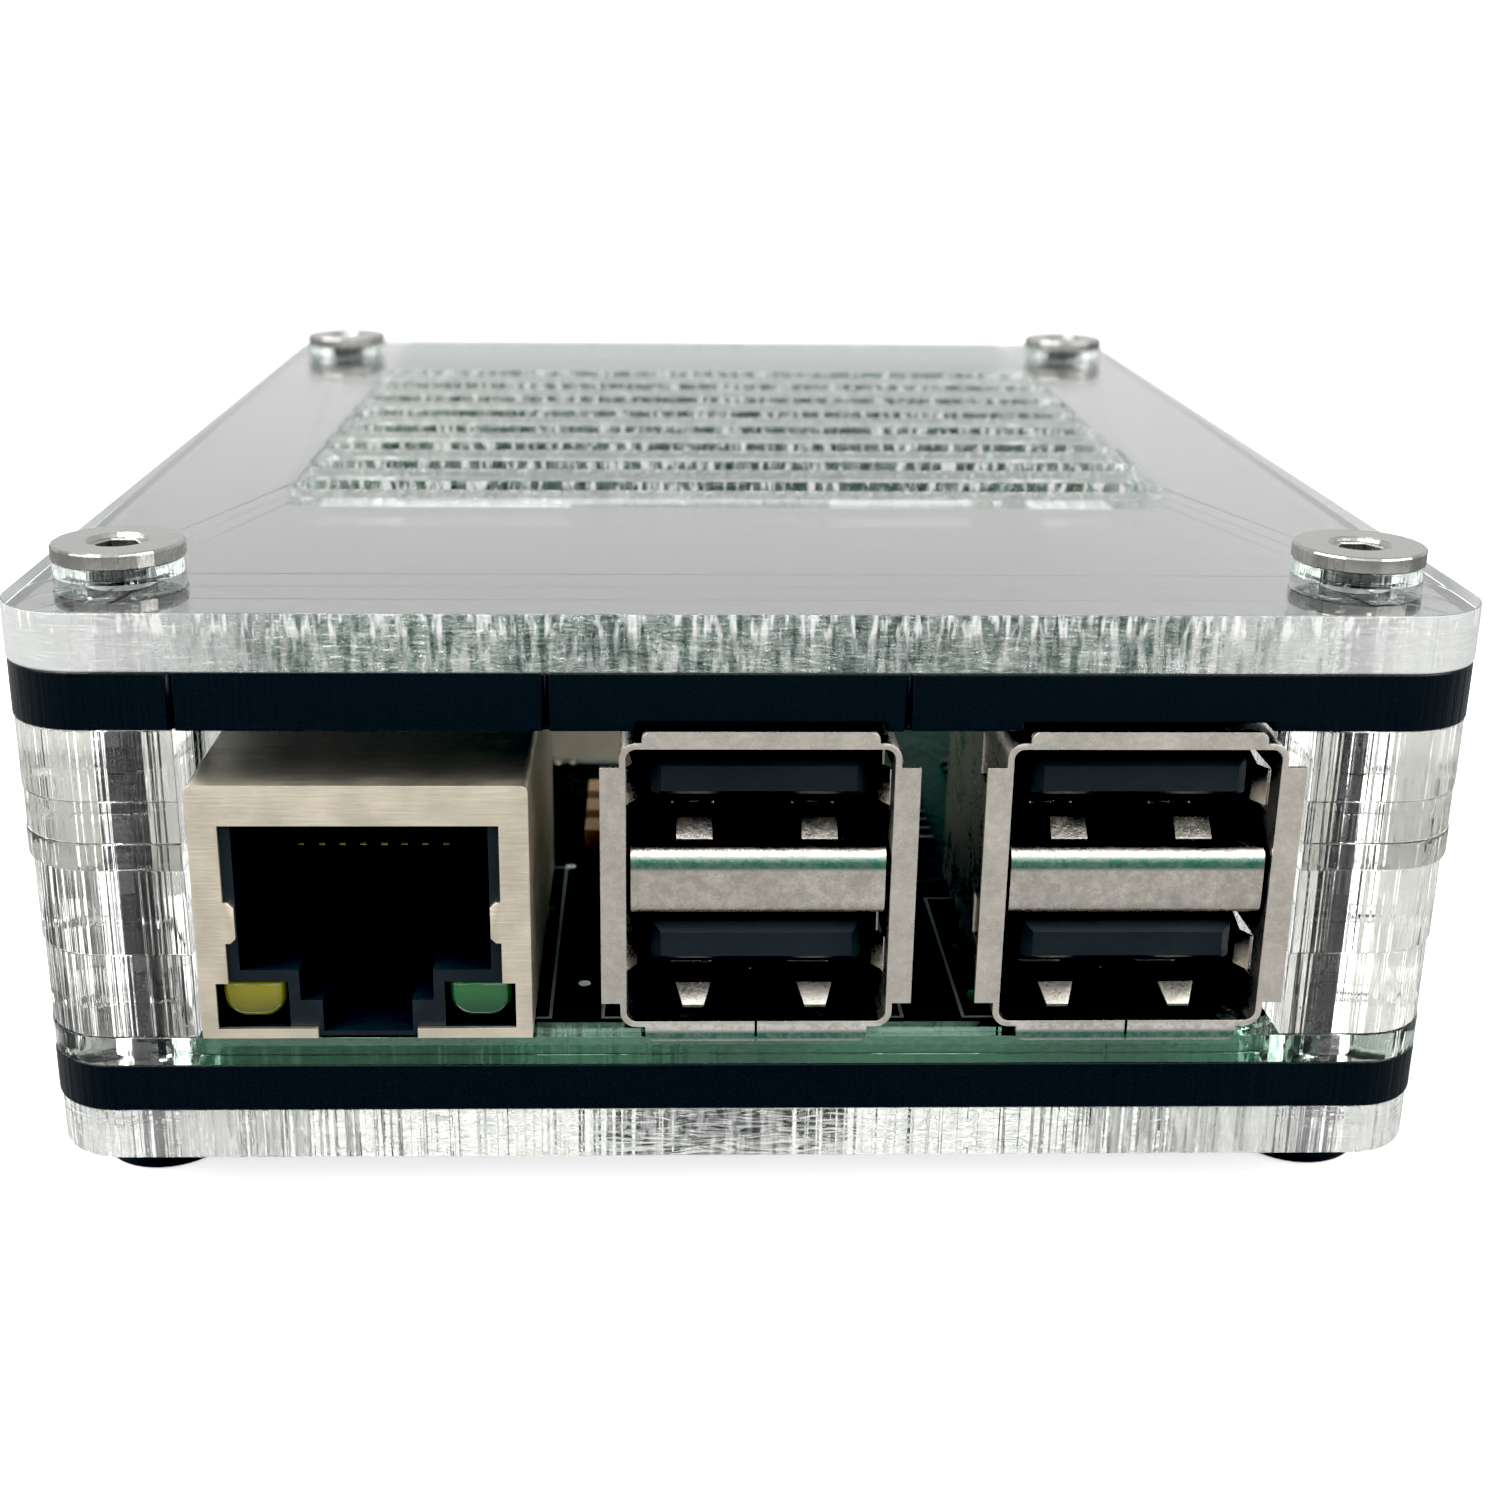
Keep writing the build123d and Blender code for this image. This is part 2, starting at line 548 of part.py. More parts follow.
def usb_shell(side):
    """Folded shell of a double stack, with lips, sprung fingers and four solder legs."""
    half = USB_WIDTH / 2
    bottom, top = USB_SHELL_BOTTOM, USB_SHELL_TOP
    back = USB_FRONT + USB_DEPTH
    middle = (bottom + top) / 2
    outer = Plane.XZ.offset(-USB_FRONT) * Pos(0, middle) * RectangleRounded(2 * half, top - bottom, 0.8)
    inner = Plane.XZ.offset(-USB_FRONT) * Pos(0, middle) * RectangleRounded(
        2 * (half - SHEET_METAL), top - bottom - 2 * SHEET_METAL, 0.5)
    shell = extrude(outer, -USB_DEPTH) - extrude(inner, -(USB_DEPTH - SHEET_METAL))
    shell += usb_lips()
    seam_half = 0.06
    shell -= span(-seam_half, seam_half, USB_FRONT - 1, USB_FRONT + 6.0, BOARD_TOP, bottom + SHEET_METAL)
    window_front = USB_FRONT + FINGER_SETBACK
    window_back = window_front + FINGER_WINDOW_LENGTH
    window_half = USB_FINGER_WIDTH / 2 + 0.2
    for x in (-USB_FINGER_X, USB_FINGER_X):
        shell -= span(x - window_half, x + window_half, window_front - 0.4, window_back,
                      bottom - 0.1, bottom + SHEET_METAL)
        shell += usb_finger_floor(x, bottom + 0.25, tip_narrowing=0.4)
    for sign in (-1, 1):
        inner_face = sign * (half - SHEET_METAL)
        outer_face = sign * (half + 0.1)
        for floor_z, ceiling_z in usb_port_levels():
            z = (floor_z + ceiling_z) / 2
            shell -= span(min(inner_face, outer_face) - 0.05, max(inner_face, outer_face) + 0.05,
                          window_front - 0.4, window_back, z - 1.1, z + 1.1)
            shell += usb_finger_side(sign, z, inner_face)
        for along in USB_LEG_ALONG:
            _, y = on_board(0, along)
            leg_x = sign * (half - SHEET_METAL / 2)
            shell += span(leg_x - SHEET_METAL / 2, leg_x + SHEET_METAL / 2, y - 0.7, y + 0.7,
                          TAIL_END, bottom + 1.5)
    tail_clear = 5.2
    _, tail_front = on_board(0, USB_TAIL_ALONG[0] - 1.2)
    shell -= span(-tail_clear, tail_clear, tail_front, back - 0.8, bottom - 0.1, bottom + SHEET_METAL)
    return Pos(usb_x(side), 0, 0) * shell


def usb_divider(side):
    """Folded metal channel between the two ports of a stack, with fingers in the upper port's floor."""
    half = USB_DIVIDER_WIDTH / 2
    front, back = USB_FRONT + 0.25, USB_FRONT + USB_CAVITY_DEPTH - 0.1
    channel = span(-half, half, front, back, USB_DIVIDER_BOTTOM, USB_DIVIDER_TOP)
    front_edges = channel.faces().sort_by(Axis.Y)[0].edges().filter_by(Axis.X)
    channel = fillet(front_edges, 0.7)
    channel -= span(-half - 1, half + 1, front + SHEET_METAL + 0.4, back + 1,
                    USB_DIVIDER_BOTTOM + SHEET_METAL, USB_DIVIDER_TOP - SHEET_METAL)
    window_front = USB_FRONT + FINGER_SETBACK
    window_back = window_front + FINGER_WINDOW_LENGTH
    window_half = USB_FINGER_WIDTH / 2 + 0.2
    for x in (-USB_FINGER_X, USB_FINGER_X):
        channel -= span(x - window_half, x + window_half, window_front - 0.4, window_back,
                        USB_DIVIDER_TOP - SHEET_METAL, USB_DIVIDER_TOP + 0.1)
        channel += usb_finger_floor(x, USB_DIVIDER_TOP - 0.05)
    return Pos(usb_x(side), 0, 0) * channel


def usb_insert(side):
    """Black moulding of a stack: rear block and one contact tongue per port."""
    half = USB_WIDTH / 2 - SHEET_METAL - 0.05
    front, back = USB_FRONT + USB_CAVITY_DEPTH, USB_FRONT + USB_DEPTH - SHEET_METAL - 0.05
    bottom, top = USB_SHELL_BOTTOM + SHEET_METAL, USB_SHELL_TOP - SHEET_METAL
    block = span(-half, half, front, back, bottom, top)
    block = chamfer(block.edges().filter_by(Axis.Y), 0.5)
    for _, ceiling_z in usb_port_levels():
        tongue_top = ceiling_z - USB_TONGUE_DROP
        tongue = span(-USB_TONGUE_HALF, USB_TONGUE_HALF, USB_FRONT + 1.1, front + 0.5,
                      tongue_top - USB_TONGUE_DEPTH, tongue_top)
        nose = tongue.faces().sort_by(Axis.Y)[0].edges()
        tongue = chamfer(nose.filter_by(Axis.Z), 0.5)
        nose = tongue.faces().sort_by(Axis.Y)[0].edges().filter_by(Axis.X).sort_by(Axis.Z)
        tongue = chamfer(nose[-1], 0.45)
        nose = tongue.faces().sort_by(Axis.Y)[0].edges().filter_by(Axis.X).sort_by(Axis.Z)
        block += chamfer(nose[0], 0.2)
        for x in USB_CONTACT_X:
            block -= usb_contact_strip(x, tongue_top - USB_TONGUE_DEPTH, 0.02)
    for x, y in usb_tail_places():
        block -= rod(x, y, bottom - 1, bottom + 2.0, 0.32)
    return Pos(usb_x(side), 0, 0) * block


def usb_contact_strip(x, z, grow=0.0):
    """One flat contact let into the underside of a tongue."""
    width, thickness, length = 1.0 + 2 * grow, 0.2 + grow, 7.4 + grow
    return span(x - width / 2, x + width / 2, USB_FRONT + 1.9 - grow, USB_FRONT + 1.9 + length,
                z - 0.05, z - 0.05 + thickness)


def usb_tail_places():
    """Solder tails of a stack centred on x = 0."""
    return [(x, on_board(0, along)[1]) for along in USB_TAIL_ALONG for x in USB_CONTACT_X]


def usb_contacts():
    """Gold contacts and solder tails of both stacks."""
    pieces = []
    for _, ceiling_z in usb_port_levels():
        for x in USB_CONTACT_X:
            pieces.append(usb_contact_strip(x, ceiling_z - USB_TONGUE_DROP - USB_TONGUE_DEPTH))
    for x, y in usb_tail_places():
        pieces.append(rod(x, y, TAIL_END, USB_SHELL_BOTTOM + 2.0, 0.3))
    return group(Pos(usb_x(side), 0, 0) * piece for side in USB_ACROSS for piece in pieces)


# ---------------------------------------------------------------- side ports
HDMI_ALONG = BOARD_LENGTH - 32.0
POWER_ALONG = BOARD_LENGTH - 10.6
AUDIO_ALONG = BOARD_LENGTH - 53.5
HDMI_OVERHANG = 1.3
HDMI_DEPTH = 11.5
HDMI_HALF_WIDTH = 7.5
POWER_OVERHANG = 1.0
POWER_DEPTH = 5.6
POWER_HALF_WIDTH = 3.75
AUDIO_OVERHANG = 2.5
AUDIO_DEPTH = 12.0
AUDIO_NOSE_RADIUS = 2.85
AUDIO_BORE_RADIUS = 1.8
AUDIO_AXIS_HEIGHT = 2.9


def port_profile(half_width, low, high, cut):
    """Section of a flat plug mouth whose two lower corners are cut off, in the plane that faces -X."""
    return Polygon((-half_width, high), (half_width, high), (half_width, low + cut), (half_width - cut, low),
                   (-half_width + cut, low), (-half_width, low + cut), align=None)


def port_shell(along, overhang, depth, half_width, height, cut, wall_thickness):
    """Folded tube that opens towards -X, closed at the back."""
    _, y = on_board(0, along)
    front_x = BOARD_LEFT - overhang
    plane = Plane(origin=(front_x, y, BOARD_TOP), x_dir=(0, 1, 0), z_dir=(1, 0, 0))
    t = wall_thickness
    outer = extrude(plane * port_profile(half_width, 0.05, height, cut), depth, dir=(1, 0, 0))
    inner = extrude(plane * port_profile(half_width - t, 0.05 + t, height - t, cut - 0.3 * t),
                    depth - t, dir=(1, 0, 0))
    return outer - inner


def hdmi_shell():
    return port_shell(HDMI_ALONG, HDMI_OVERHANG, HDMI_DEPTH, HDMI_HALF_WIDTH, 6.1, 1.6, SHEET_METAL)


def hdmi_insert():
    """Moulded block with the contact tongue of the display port."""
    _, y = on_board(0, HDMI_ALONG)
    front_x = BOARD_LEFT - HDMI_OVERHANG
    block_front = front_x + 7.0
    block_back = front_x + HDMI_DEPTH - SHEET_METAL - 0.05
    block = span(block_front, block_back, y - 6.9, y + 6.9, BOARD_TOP + 1.7, BOARD_TOP + 5.7)
    return block + span(front_x + 1.2, block_front + 0.5, y - 6.0, y + 6.0, BOARD_TOP + 2.6, BOARD_TOP + 4.2)


def hdmi_contacts():
    """Nineteen fine contacts on both faces of the tongue."""
    _, y = on_board(0, HDMI_ALONG)
    front_x = BOARD_LEFT - HDMI_OVERHANG
    strips = []
    for i in range(19):
        row_z = BOARD_TOP + (4.2 if i % 2 == 0 else 2.45)
        centre = y + (i - 9) * 0.5
        strips.append(span(front_x + 1.6, front_x + 6.9, centre - 0.16, centre + 0.16, row_z, row_z + 0.15))
    return group(strips)


def power_port_shell():
    return port_shell(POWER_ALONG, POWER_OVERHANG, POWER_DEPTH, POWER_HALF_WIDTH, 2.65, 0.9, 0.25)


def power_port_insert():
    """Moulded tongue of the power port."""
    _, y = on_board(0, POWER_ALONG)
    front_x = BOARD_LEFT - POWER_OVERHANG
    block = span(front_x + 4.0, front_x + POWER_DEPTH - 0.3, y - 2.7, y + 2.7, BOARD_TOP + 0.4, BOARD_TOP + 2.3)
    return block + span(front_x + 0.6, front_x + 4.1, y - 1.8, y + 1.8, BOARD_TOP + 1.5, BOARD_TOP + 2.1)


def audio_jack():
    """Moulded block with a round nose and the plug bore."""
    _, y = on_board(0, AUDIO_ALONG)
    edge_x = BOARD_LEFT
    axis_z = BOARD_TOP + AUDIO_AXIS_HEIGHT
    block = span(edge_x + 0.1, edge_x + AUDIO_DEPTH, y - 3.4, y + 3.4, BOARD_TOP, BOARD_TOP + 5.8)
    block = chamfer(block.edges().filter_by(Axis.X).group_by(Axis.Z)[-1], 0.4)
    nose = Pos(edge_x - AUDIO_OVERHANG / 2 + 0.1, y, axis_z) * Rot(0, 90, 0) * Cylinder(
        AUDIO_NOSE_RADIUS, AUDIO_OVERHANG + 0.2)
    bore_length = AUDIO_OVERHANG + AUDIO_DEPTH - 1.5
    bore = Pos(edge_x - AUDIO_OVERHANG + bore_length / 2, y, axis_z) * Rot(0, 90, 0) * Cylinder(
        AUDIO_BORE_RADIUS, bore_length)
    return block + nose - bore


# ---------------------------------------------------------------- ribbon connectors
FLEX_WIDTH = 20.8
FLEX_DEPTH = 2.6
FLEX_HEIGHT = 4.3
LATCH_HEIGHT = 1.1
CAMERA_CENTRE = (11.6, BOARD_LENGTH - 45.0)
DISPLAY_CENTRE = (28.0, BOARD_LENGTH - 4.2)


def flex_base(centre):
    """Body of an upright ribbon connector, with the slot for the flat cable."""
    x, y = on_board(*centre)
    half_w, half_d = FLEX_WIDTH / 2, FLEX_DEPTH / 2
    body = span(x - half_w, x + half_w, y - half_d, y + half_d, BOARD_TOP, BOARD_TOP + FLEX_HEIGHT)
    return body - span(x - 8.2, x + 8.2, y - 0.3, y + 0.3, BOARD_TOP + 1.0, BOARD_TOP + FLEX_HEIGHT)


def flex_latch(centre):
    """Collar that is pulled up to free the flat cable, with an arm down each end of the body."""
    x, y = on_board(*centre)
    arm = 0.8
    gap = 0.04
    outer_w, half_d = FLEX_WIDTH / 2 + gap + arm, FLEX_DEPTH / 2 + 0.1
    bottom = BOARD_TOP + FLEX_HEIGHT + gap
    bar = span(x - outer_w, x + outer_w, y - half_d, y + half_d, bottom, bottom + LATCH_HEIGHT)
    bar = chamfer(bar.edges().filter_by(Axis.X).group_by(Axis.Z)[-1], 0.25)
    bar -= span(x - 8.4, x + 8.4, y - 0.45, y + 0.45, bottom, bottom + LATCH_HEIGHT)
    for side in (-1, 1):
        inner, outer = x + side * (FLEX_WIDTH / 2 + gap), x + side * outer_w
        bar += span(min(inner, outer), max(inner, outer), y - 0.9, y + 0.9, bottom - 3.0, bottom + 0.2)
    return bar


def flex_contacts():
    """Fifteen solder feet along one long side of both ribbon connectors."""
    feet = []
    for centre in (CAMERA_CENTRE, DISPLAY_CENTRE):
        x, y = on_board(*centre)
        for i in range(15):
            foot_x = x + (i - 7) * 1.0
            feet.append(span(foot_x - 0.2, foot_x + 0.2, y - FLEX_DEPTH / 2 - 1.0, y - FLEX_DEPTH / 2,
                             BOARD_TOP, BOARD_TOP + 0.25))
    return group(feet)


# ---------------------------------------------------------------- memory card and its slot
CARD_ACROSS = 28.0
CARD_WIDTH = 11.0
CARD_LENGTH = 15.0
CARD_THICKNESS = 0.75
CARD_OVERHANG = 2.4
SLOT_BODY_WIDTH = 13.6
SLOT_BODY_LENGTH = 13.2
SLOT_BODY_HEIGHT = 1.45
SLOT_MOUTH = BOARD_BACK - 0.8
CARD_TOP = BOARD_BOTTOM - 0.42


def card_slot_shield():
    """Metal cover of the card slot, below the board, open towards the back edge."""
    x = BOARD_LEFT + CARD_ACROSS
    half, wall_thickness = SLOT_BODY_WIDTH / 2, 0.2
    cover = span(x - half, x + half, SLOT_MOUTH - SLOT_BODY_LENGTH, SLOT_MOUTH,
                 BOARD_BOTTOM - SLOT_BODY_HEIGHT, BOARD_BOTTOM)
    return cover - span(x - half + wall_thickness, x + half - wall_thickness,
                        SLOT_MOUTH - SLOT_BODY_LENGTH + wall_thickness, SLOT_MOUTH + 1,
                        BOARD_BOTTOM - SLOT_BODY_HEIGHT + wall_thickness, BOARD_BOTTOM + 1)


def card_slot_base():
    """Plastic tray that guides the card, with side rails."""
    x = BOARD_LEFT + CARD_ACROSS
    half = SLOT_BODY_WIDTH / 2 - 0.25
    rail_inner = CARD_WIDTH / 2 + 0.1
    front = SLOT_MOUTH - SLOT_BODY_LENGTH + 0.25
    bottom = BOARD_BOTTOM - SLOT_BODY_HEIGHT + 0.25
    tray = span(x - half, x + half, front, SLOT_MOUTH - 0.3, bottom, BOARD_BOTTOM)
    return tray - span(x - rail_inner, x + rail_inner, front + 0.5, SLOT_MOUTH + 1, bottom - 1, CARD_TOP + 0.07)


def memory_card():
    """Removable card with one notched long side and a raised grip bar at its outer end."""
    x = BOARD_LEFT + CARD_ACROSS
    outer = BOARD_BACK + CARD_OVERHANG
    inner = outer - CARD_LENGTH
    half = CARD_WIDTH / 2
    outline = Polygon((x - half, outer), (x - half, inner), (x + half - 1.4, inner),
                      (x + half - 1.4, inner + 4.2), (x + half, inner + 5.6), (x + half, outer), align=None)
    card = Pos(0, 0, CARD_TOP - CARD_THICKNESS) * extrude(outline, CARD_THICKNESS)
    grip = span(x - half + 0.6, x + half - 0.6, outer - 1.1, outer - 0.3,
                CARD_TOP - CARD_THICKNESS - 0.3, CARD_TOP - CARD_THICKNESS)
    return card + grip


# ---------------------------------------------------------------- packages and small parts on the board
SOC_CENTRE = (31.0, 56.0)
NETWORK_CENTRE = (31.0, 28.5)
POWER_CHIP_CENTRE = (15.5, 72.0)
WIRELESS_CENTRE = (41.5, 72.5)


def circuit_board():
    """Board blank with mounting holes and every hole that a tail or leg passes through."""
    board = rounded_block(BOARD_LEFT, BOARD_LEFT + BOARD_WIDTH, BOARD_FRONT, BOARD_BACK,
                          BOARD_BOTTOM, BOARD_TOP, BOARD_RADIUS)
    holes = [rod(x, y, BOARD_BOTTOM, BOARD_TOP, MOUNT_HOLE_RADIUS) for x, y in mount_places()]
    for centre, columns in ((HEADER_CENTRE, HEADER_COLUMNS), (POE_CENTRE, 2)):
        for place in header_places(centre, columns):
            holes.append(rod(*on_board(*place), BOARD_BOTTOM, BOARD_TOP, PIN_HOLE_RADIUS))
    for place in jack_pin_places():
        holes.append(rod(*on_board(*place), BOARD_BOTTOM, BOARD_TOP, 0.35))
    _, leg_y = on_board(0, JACK_LEG_ALONG)
    for side in (-1, 1):
        leg_x = JACK_X + side * (JACK_WIDTH / 2 - JACK_SHEET / 2)
        holes.append(rounded_block(leg_x - 0.5, leg_x + 0.5, leg_y - 0.9, leg_y + 0.9,
                                   BOARD_BOTTOM, BOARD_TOP, 0.45))
    for stack in USB_ACROSS:
        for x, y in usb_tail_places():
            holes.append(rod(usb_x(stack) + x, y, BOARD_BOTTOM, BOARD_TOP, 0.42))
        for side in (-1, 1):
            leg_x = usb_x(stack) + side * (USB_WIDTH / 2 - SHEET_METAL / 2)
            for along in USB_LEG_ALONG:
                _, leg_y = on_board(0, along)
                holes.append(rounded_block(leg_x - 0.5, leg_x + 0.5, leg_y - 1.0, leg_y + 1.0,
                                           BOARD_BOTTOM, BOARD_TOP, 0.45))
    return board - holes


def soc_substrate():
    return chip(*SOC_CENTRE, 14.0, 14.0, 0.6)


def soc_heat_spreader():
    """Metal lid of the processor, with a raised centre."""
    base = BOARD_TOP + 0.6
    rim = chip(*SOC_CENTRE, 12.8, 12.8, 0.35, base=base, radius=0.8)
    return rim + chip(*SOC_CENTRE, 9.6, 9.6, 0.6, base=base, radius=0.8)


def memory_chip():
    height = 0.9
    return chip(*SOC_CENTRE, 11.5, 10.5, height, base=BOARD_BOTTOM - height)


def network_chip():
    return chip(*NETWORK_CENTRE, 9.2, 9.2, 0.9)


def power_chip():
    return chip(*POWER_CHIP_CENTRE, 5.0, 5.0, 0.85)


def wireless_shield():
    """Pressed metal can over the radio, hollow underneath."""
    width, length, height, wall_thickness = 12.0, 10.0, 1.5, 0.2
    can = chip(*WIRELESS_CENTRE, width, length, height, radius=0.7)
    can = fillet(can.edges().group_by(Axis.Z)[-1], 0.15)
    hollow = chip(*WIRELESS_CENTRE, width - 2 * wall_thickness, length - 2 * wall_thickness,
                  height - wall_thickness, radius=0.5)
    return can - hollow


def row_of(count, start, step, size):
    """Identical small blocks in a straight row: start and step are (across, along) on the board."""
    width, length, height = size
    blocks = []
    for i in range(count):
        x, y = on_board(start[0] + i * step[0], start[1] + i * step[1])
        blocks.append(span(x - width / 2, x + width / 2, y - length / 2, y + length / 2,
                           BOARD_TOP, BOARD_TOP + height))
    return blocks


CAP_SMALL_X = (1.0, 0.5, 0.5)
CAP_SMALL_Y = (0.5, 1.0, 0.5)
CAP_LARGE_Y = (1.25, 2.0, 1.2)


def ceramic_capacitors():
    """Ceramic capacitors around the processor, the network chip and the power section."""
    soc_x, soc_y = SOC_CENTRE
    net_x, net_y = NETWORK_CENTRE
    blocks = row_of(9, (soc_x - 6.4, soc_y - 8.2), (1.6, 0), CAP_SMALL_Y)
    blocks += row_of(9, (soc_x - 6.4, soc_y + 8.2), (1.6, 0), CAP_SMALL_Y)
    blocks += row_of(8, (soc_x - 8.3, soc_y - 5.6), (0, 1.6), CAP_SMALL_X)
    blocks += row_of(8, (soc_x + 8.3, soc_y - 5.6), (0, 1.6), CAP_SMALL_X)
    blocks += row_of(6, (net_x - 4.0, net_y + 6.0), (1.6, 0), CAP_SMALL_Y)
    blocks += row_of(6, (net_x - 6.2, net_y - 4.0), (0, 1.6), CAP_SMALL_X)
    blocks += row_of(4, (9.2, 62.2), (2.6, 0), CAP_LARGE_Y)
    blocks += row_of(3, (9.4, 75.8), (2.8, 0), CAP_LARGE_Y)
    blocks += row_of(3, (20.5, 24.0), (0, 3.4), CAP_LARGE_Y)
    return group(blocks)


def chip_resistors():
    """Chip resistors between the larger packages."""
    size_x, size_y = (1.0, 0.5, 0.35), (0.5, 1.0, 0.35)
    blocks = row_of(10, (23.5, 44.8), (1.5, 0), size_y)
    blocks += row_of(8, (42.8, 50.5), (0, 1.4), size_x)
    blocks += row_of(6, (40.6, 24.0), (0, 1.5), size_x)
    blocks += row_of(7, (20.0, 67.8), (0, 1.4), size_x)
    blocks += row_of(8, (37.0, 65.2), (1.4, 0), size_y)
    blocks += row_of(6, (44.0, 30.5), (0, 1.5), size_x)
    return group(blocks)


def power_inductors():
    """Shielded inductors of the supply."""
    places = [(10.2, 66.6), (14.6, 66.6), (11.0, 72.8), (22.4, 76.4)]
    return group(chip(across, along, 3.0, 3.0, 1.6, radius=0.4) for across, along in places)


def crystal_cans():
    """Metal-lidded crystals beside the processor and the network chip."""
    places = [(20.2, 50.5), (24.6, 35.2)]
    return group(chip(across, along, 3.2, 2.5, 0.8, radius=0.3) for across, along in places)


def status_led(across):
    """Small indicator near the back corner of the board."""
    return chip(across, 82.6, 0.9, 1.7, 0.6, radius=0.1)


def power_protection():
    """Supply input parts beside the power port: resettable fuse and clamp diode."""
    return group([chip(9.0, 79.2, 4.6, 2.2, 0.9, radius=0.1), chip(14.2, 79.0, 4.2, 2.4, 1.9, radius=0.1)])


# ---------------------------------------------------------------- write one STEP file per node
NODES = {
    "top_plate": top_plate,
    "upper_frame": upper_frame,
    "wall_upper": lambda: wall("wall_upper"),
    "wall_spacer": lambda: wall("wall_spacer"),
    "wall_thin": lambda: wall("wall_thin"),
    "wall_middle": lambda: split_wall("wall_middle", SIDE_PORT_BACK_UPPER)[0],
    "wall_middle_corner": lambda: split_wall("wall_middle", SIDE_PORT_BACK_UPPER)[1],
    "wall_lower": lambda: split_wall("wall_lower", SIDE_PORT_BACK)[0],
    "wall_lower_corner": lambda: split_wall("wall_lower", SIDE_PORT_BACK)[1],
    "board_nest": board_nest,
    "lower_frame": lower_frame,
    "bottom_plate": bottom_plate,
    "case_screws": case_screws,
    "screw_washers": screw_washers,
    "foot_nuts": foot_nuts,
    "circuit_board": circuit_board,
    "soc_substrate": soc_substrate,
    "soc_heat_spreader": soc_heat_spreader,
    "memory_chip": memory_chip,
    "network_chip": network_chip,
    "power_chip": power_chip,
    "wireless_shield": wireless_shield,
    "ceramic_capacitors": ceramic_capacitors,
    "chip_resistors": chip_resistors,
    "power_inductors": power_inductors,
    "crystal_cans": crystal_cans,
    "power_protection": power_protection,
    "status_led_red": lambda: status_led(8.0 + 2.6),
    "status_led_green": lambda: status_led(8.0 + 5.2),
    "gpio_header_base": lambda: header_base(HEADER_CENTRE, HEADER_COLUMNS),
    "poe_header_base": lambda: header_base(POE_CENTRE, 2),
    "header_pins": header_pins,
    "ethernet_shield": ethernet_shield,
    "ethernet_housing": ethernet_housing,
    "ethernet_contacts": ethernet_contacts,
    "ethernet_led_yellow": lambda: ethernet_led(-1),
    "ethernet_led_green": lambda: ethernet_led(1),
    "usb_contacts": usb_contacts,
    "hdmi_shell": hdmi_shell,
    "hdmi_insert": hdmi_insert,
    "hdmi_contacts": hdmi_contacts,
    "power_port_shell": power_port_shell,
    "power_port_insert": power_port_insert,
    "audio_jack": audio_jack,
    "camera_connector": lambda: flex_base(CAMERA_CENTRE),
    "camera_latch": lambda: flex_latch(CAMERA_CENTRE),
    "display_connector": lambda: flex_base(DISPLAY_CENTRE),
    "display_latch": lambda: flex_latch(DISPLAY_CENTRE),
    "ribbon_contacts": flex_contacts,
    "card_slot_shield": card_slot_shield,
    "card_slot_base": card_slot_base,
    "memory_card": memory_card,
}
for stack_side in USB_ACROSS:
    NODES["usb_shell_" + stack_side] = lambda side=stack_side: usb_shell(side)
    NODES["usb_divider_" + stack_side] = lambda side=stack_side: usb_divider(side)
    NODES["usb_insert_" + stack_side] = lambda side=stack_side: usb_insert(side)

for node_name, build in NODES.items():
    export_step(build(), f"parts/{node_name}.step")
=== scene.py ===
"""Looks for the single board computer in its stacked acrylic case.

Lengths are metres in the frame of the CAD model: +Z is up and the connector end faces -Y.
"""
import json
import math
import random

import bpy
import bmesh
from mathutils import Matrix, Vector

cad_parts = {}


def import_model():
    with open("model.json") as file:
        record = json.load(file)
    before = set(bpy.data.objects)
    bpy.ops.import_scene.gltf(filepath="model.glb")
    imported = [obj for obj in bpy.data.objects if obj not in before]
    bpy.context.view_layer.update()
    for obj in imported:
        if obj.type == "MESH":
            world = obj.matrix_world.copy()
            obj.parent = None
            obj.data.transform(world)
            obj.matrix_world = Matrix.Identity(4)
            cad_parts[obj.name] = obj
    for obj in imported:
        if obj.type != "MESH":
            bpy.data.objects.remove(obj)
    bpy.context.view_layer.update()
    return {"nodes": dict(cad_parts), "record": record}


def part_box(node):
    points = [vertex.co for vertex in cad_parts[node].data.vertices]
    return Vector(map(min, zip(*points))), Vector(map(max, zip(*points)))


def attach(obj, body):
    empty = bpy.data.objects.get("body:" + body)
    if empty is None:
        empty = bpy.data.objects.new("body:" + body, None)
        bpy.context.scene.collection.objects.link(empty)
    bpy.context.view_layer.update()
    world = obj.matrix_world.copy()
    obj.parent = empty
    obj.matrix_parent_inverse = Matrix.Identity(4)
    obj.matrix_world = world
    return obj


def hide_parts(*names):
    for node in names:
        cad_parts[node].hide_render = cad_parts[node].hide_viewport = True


MM = 0.001
ROOT = "board_and_case"

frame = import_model()
nodes = frame["nodes"]
SLOT_OF = {row["node"]: row["material_slot"] for row in frame["record"]["subparts"]}


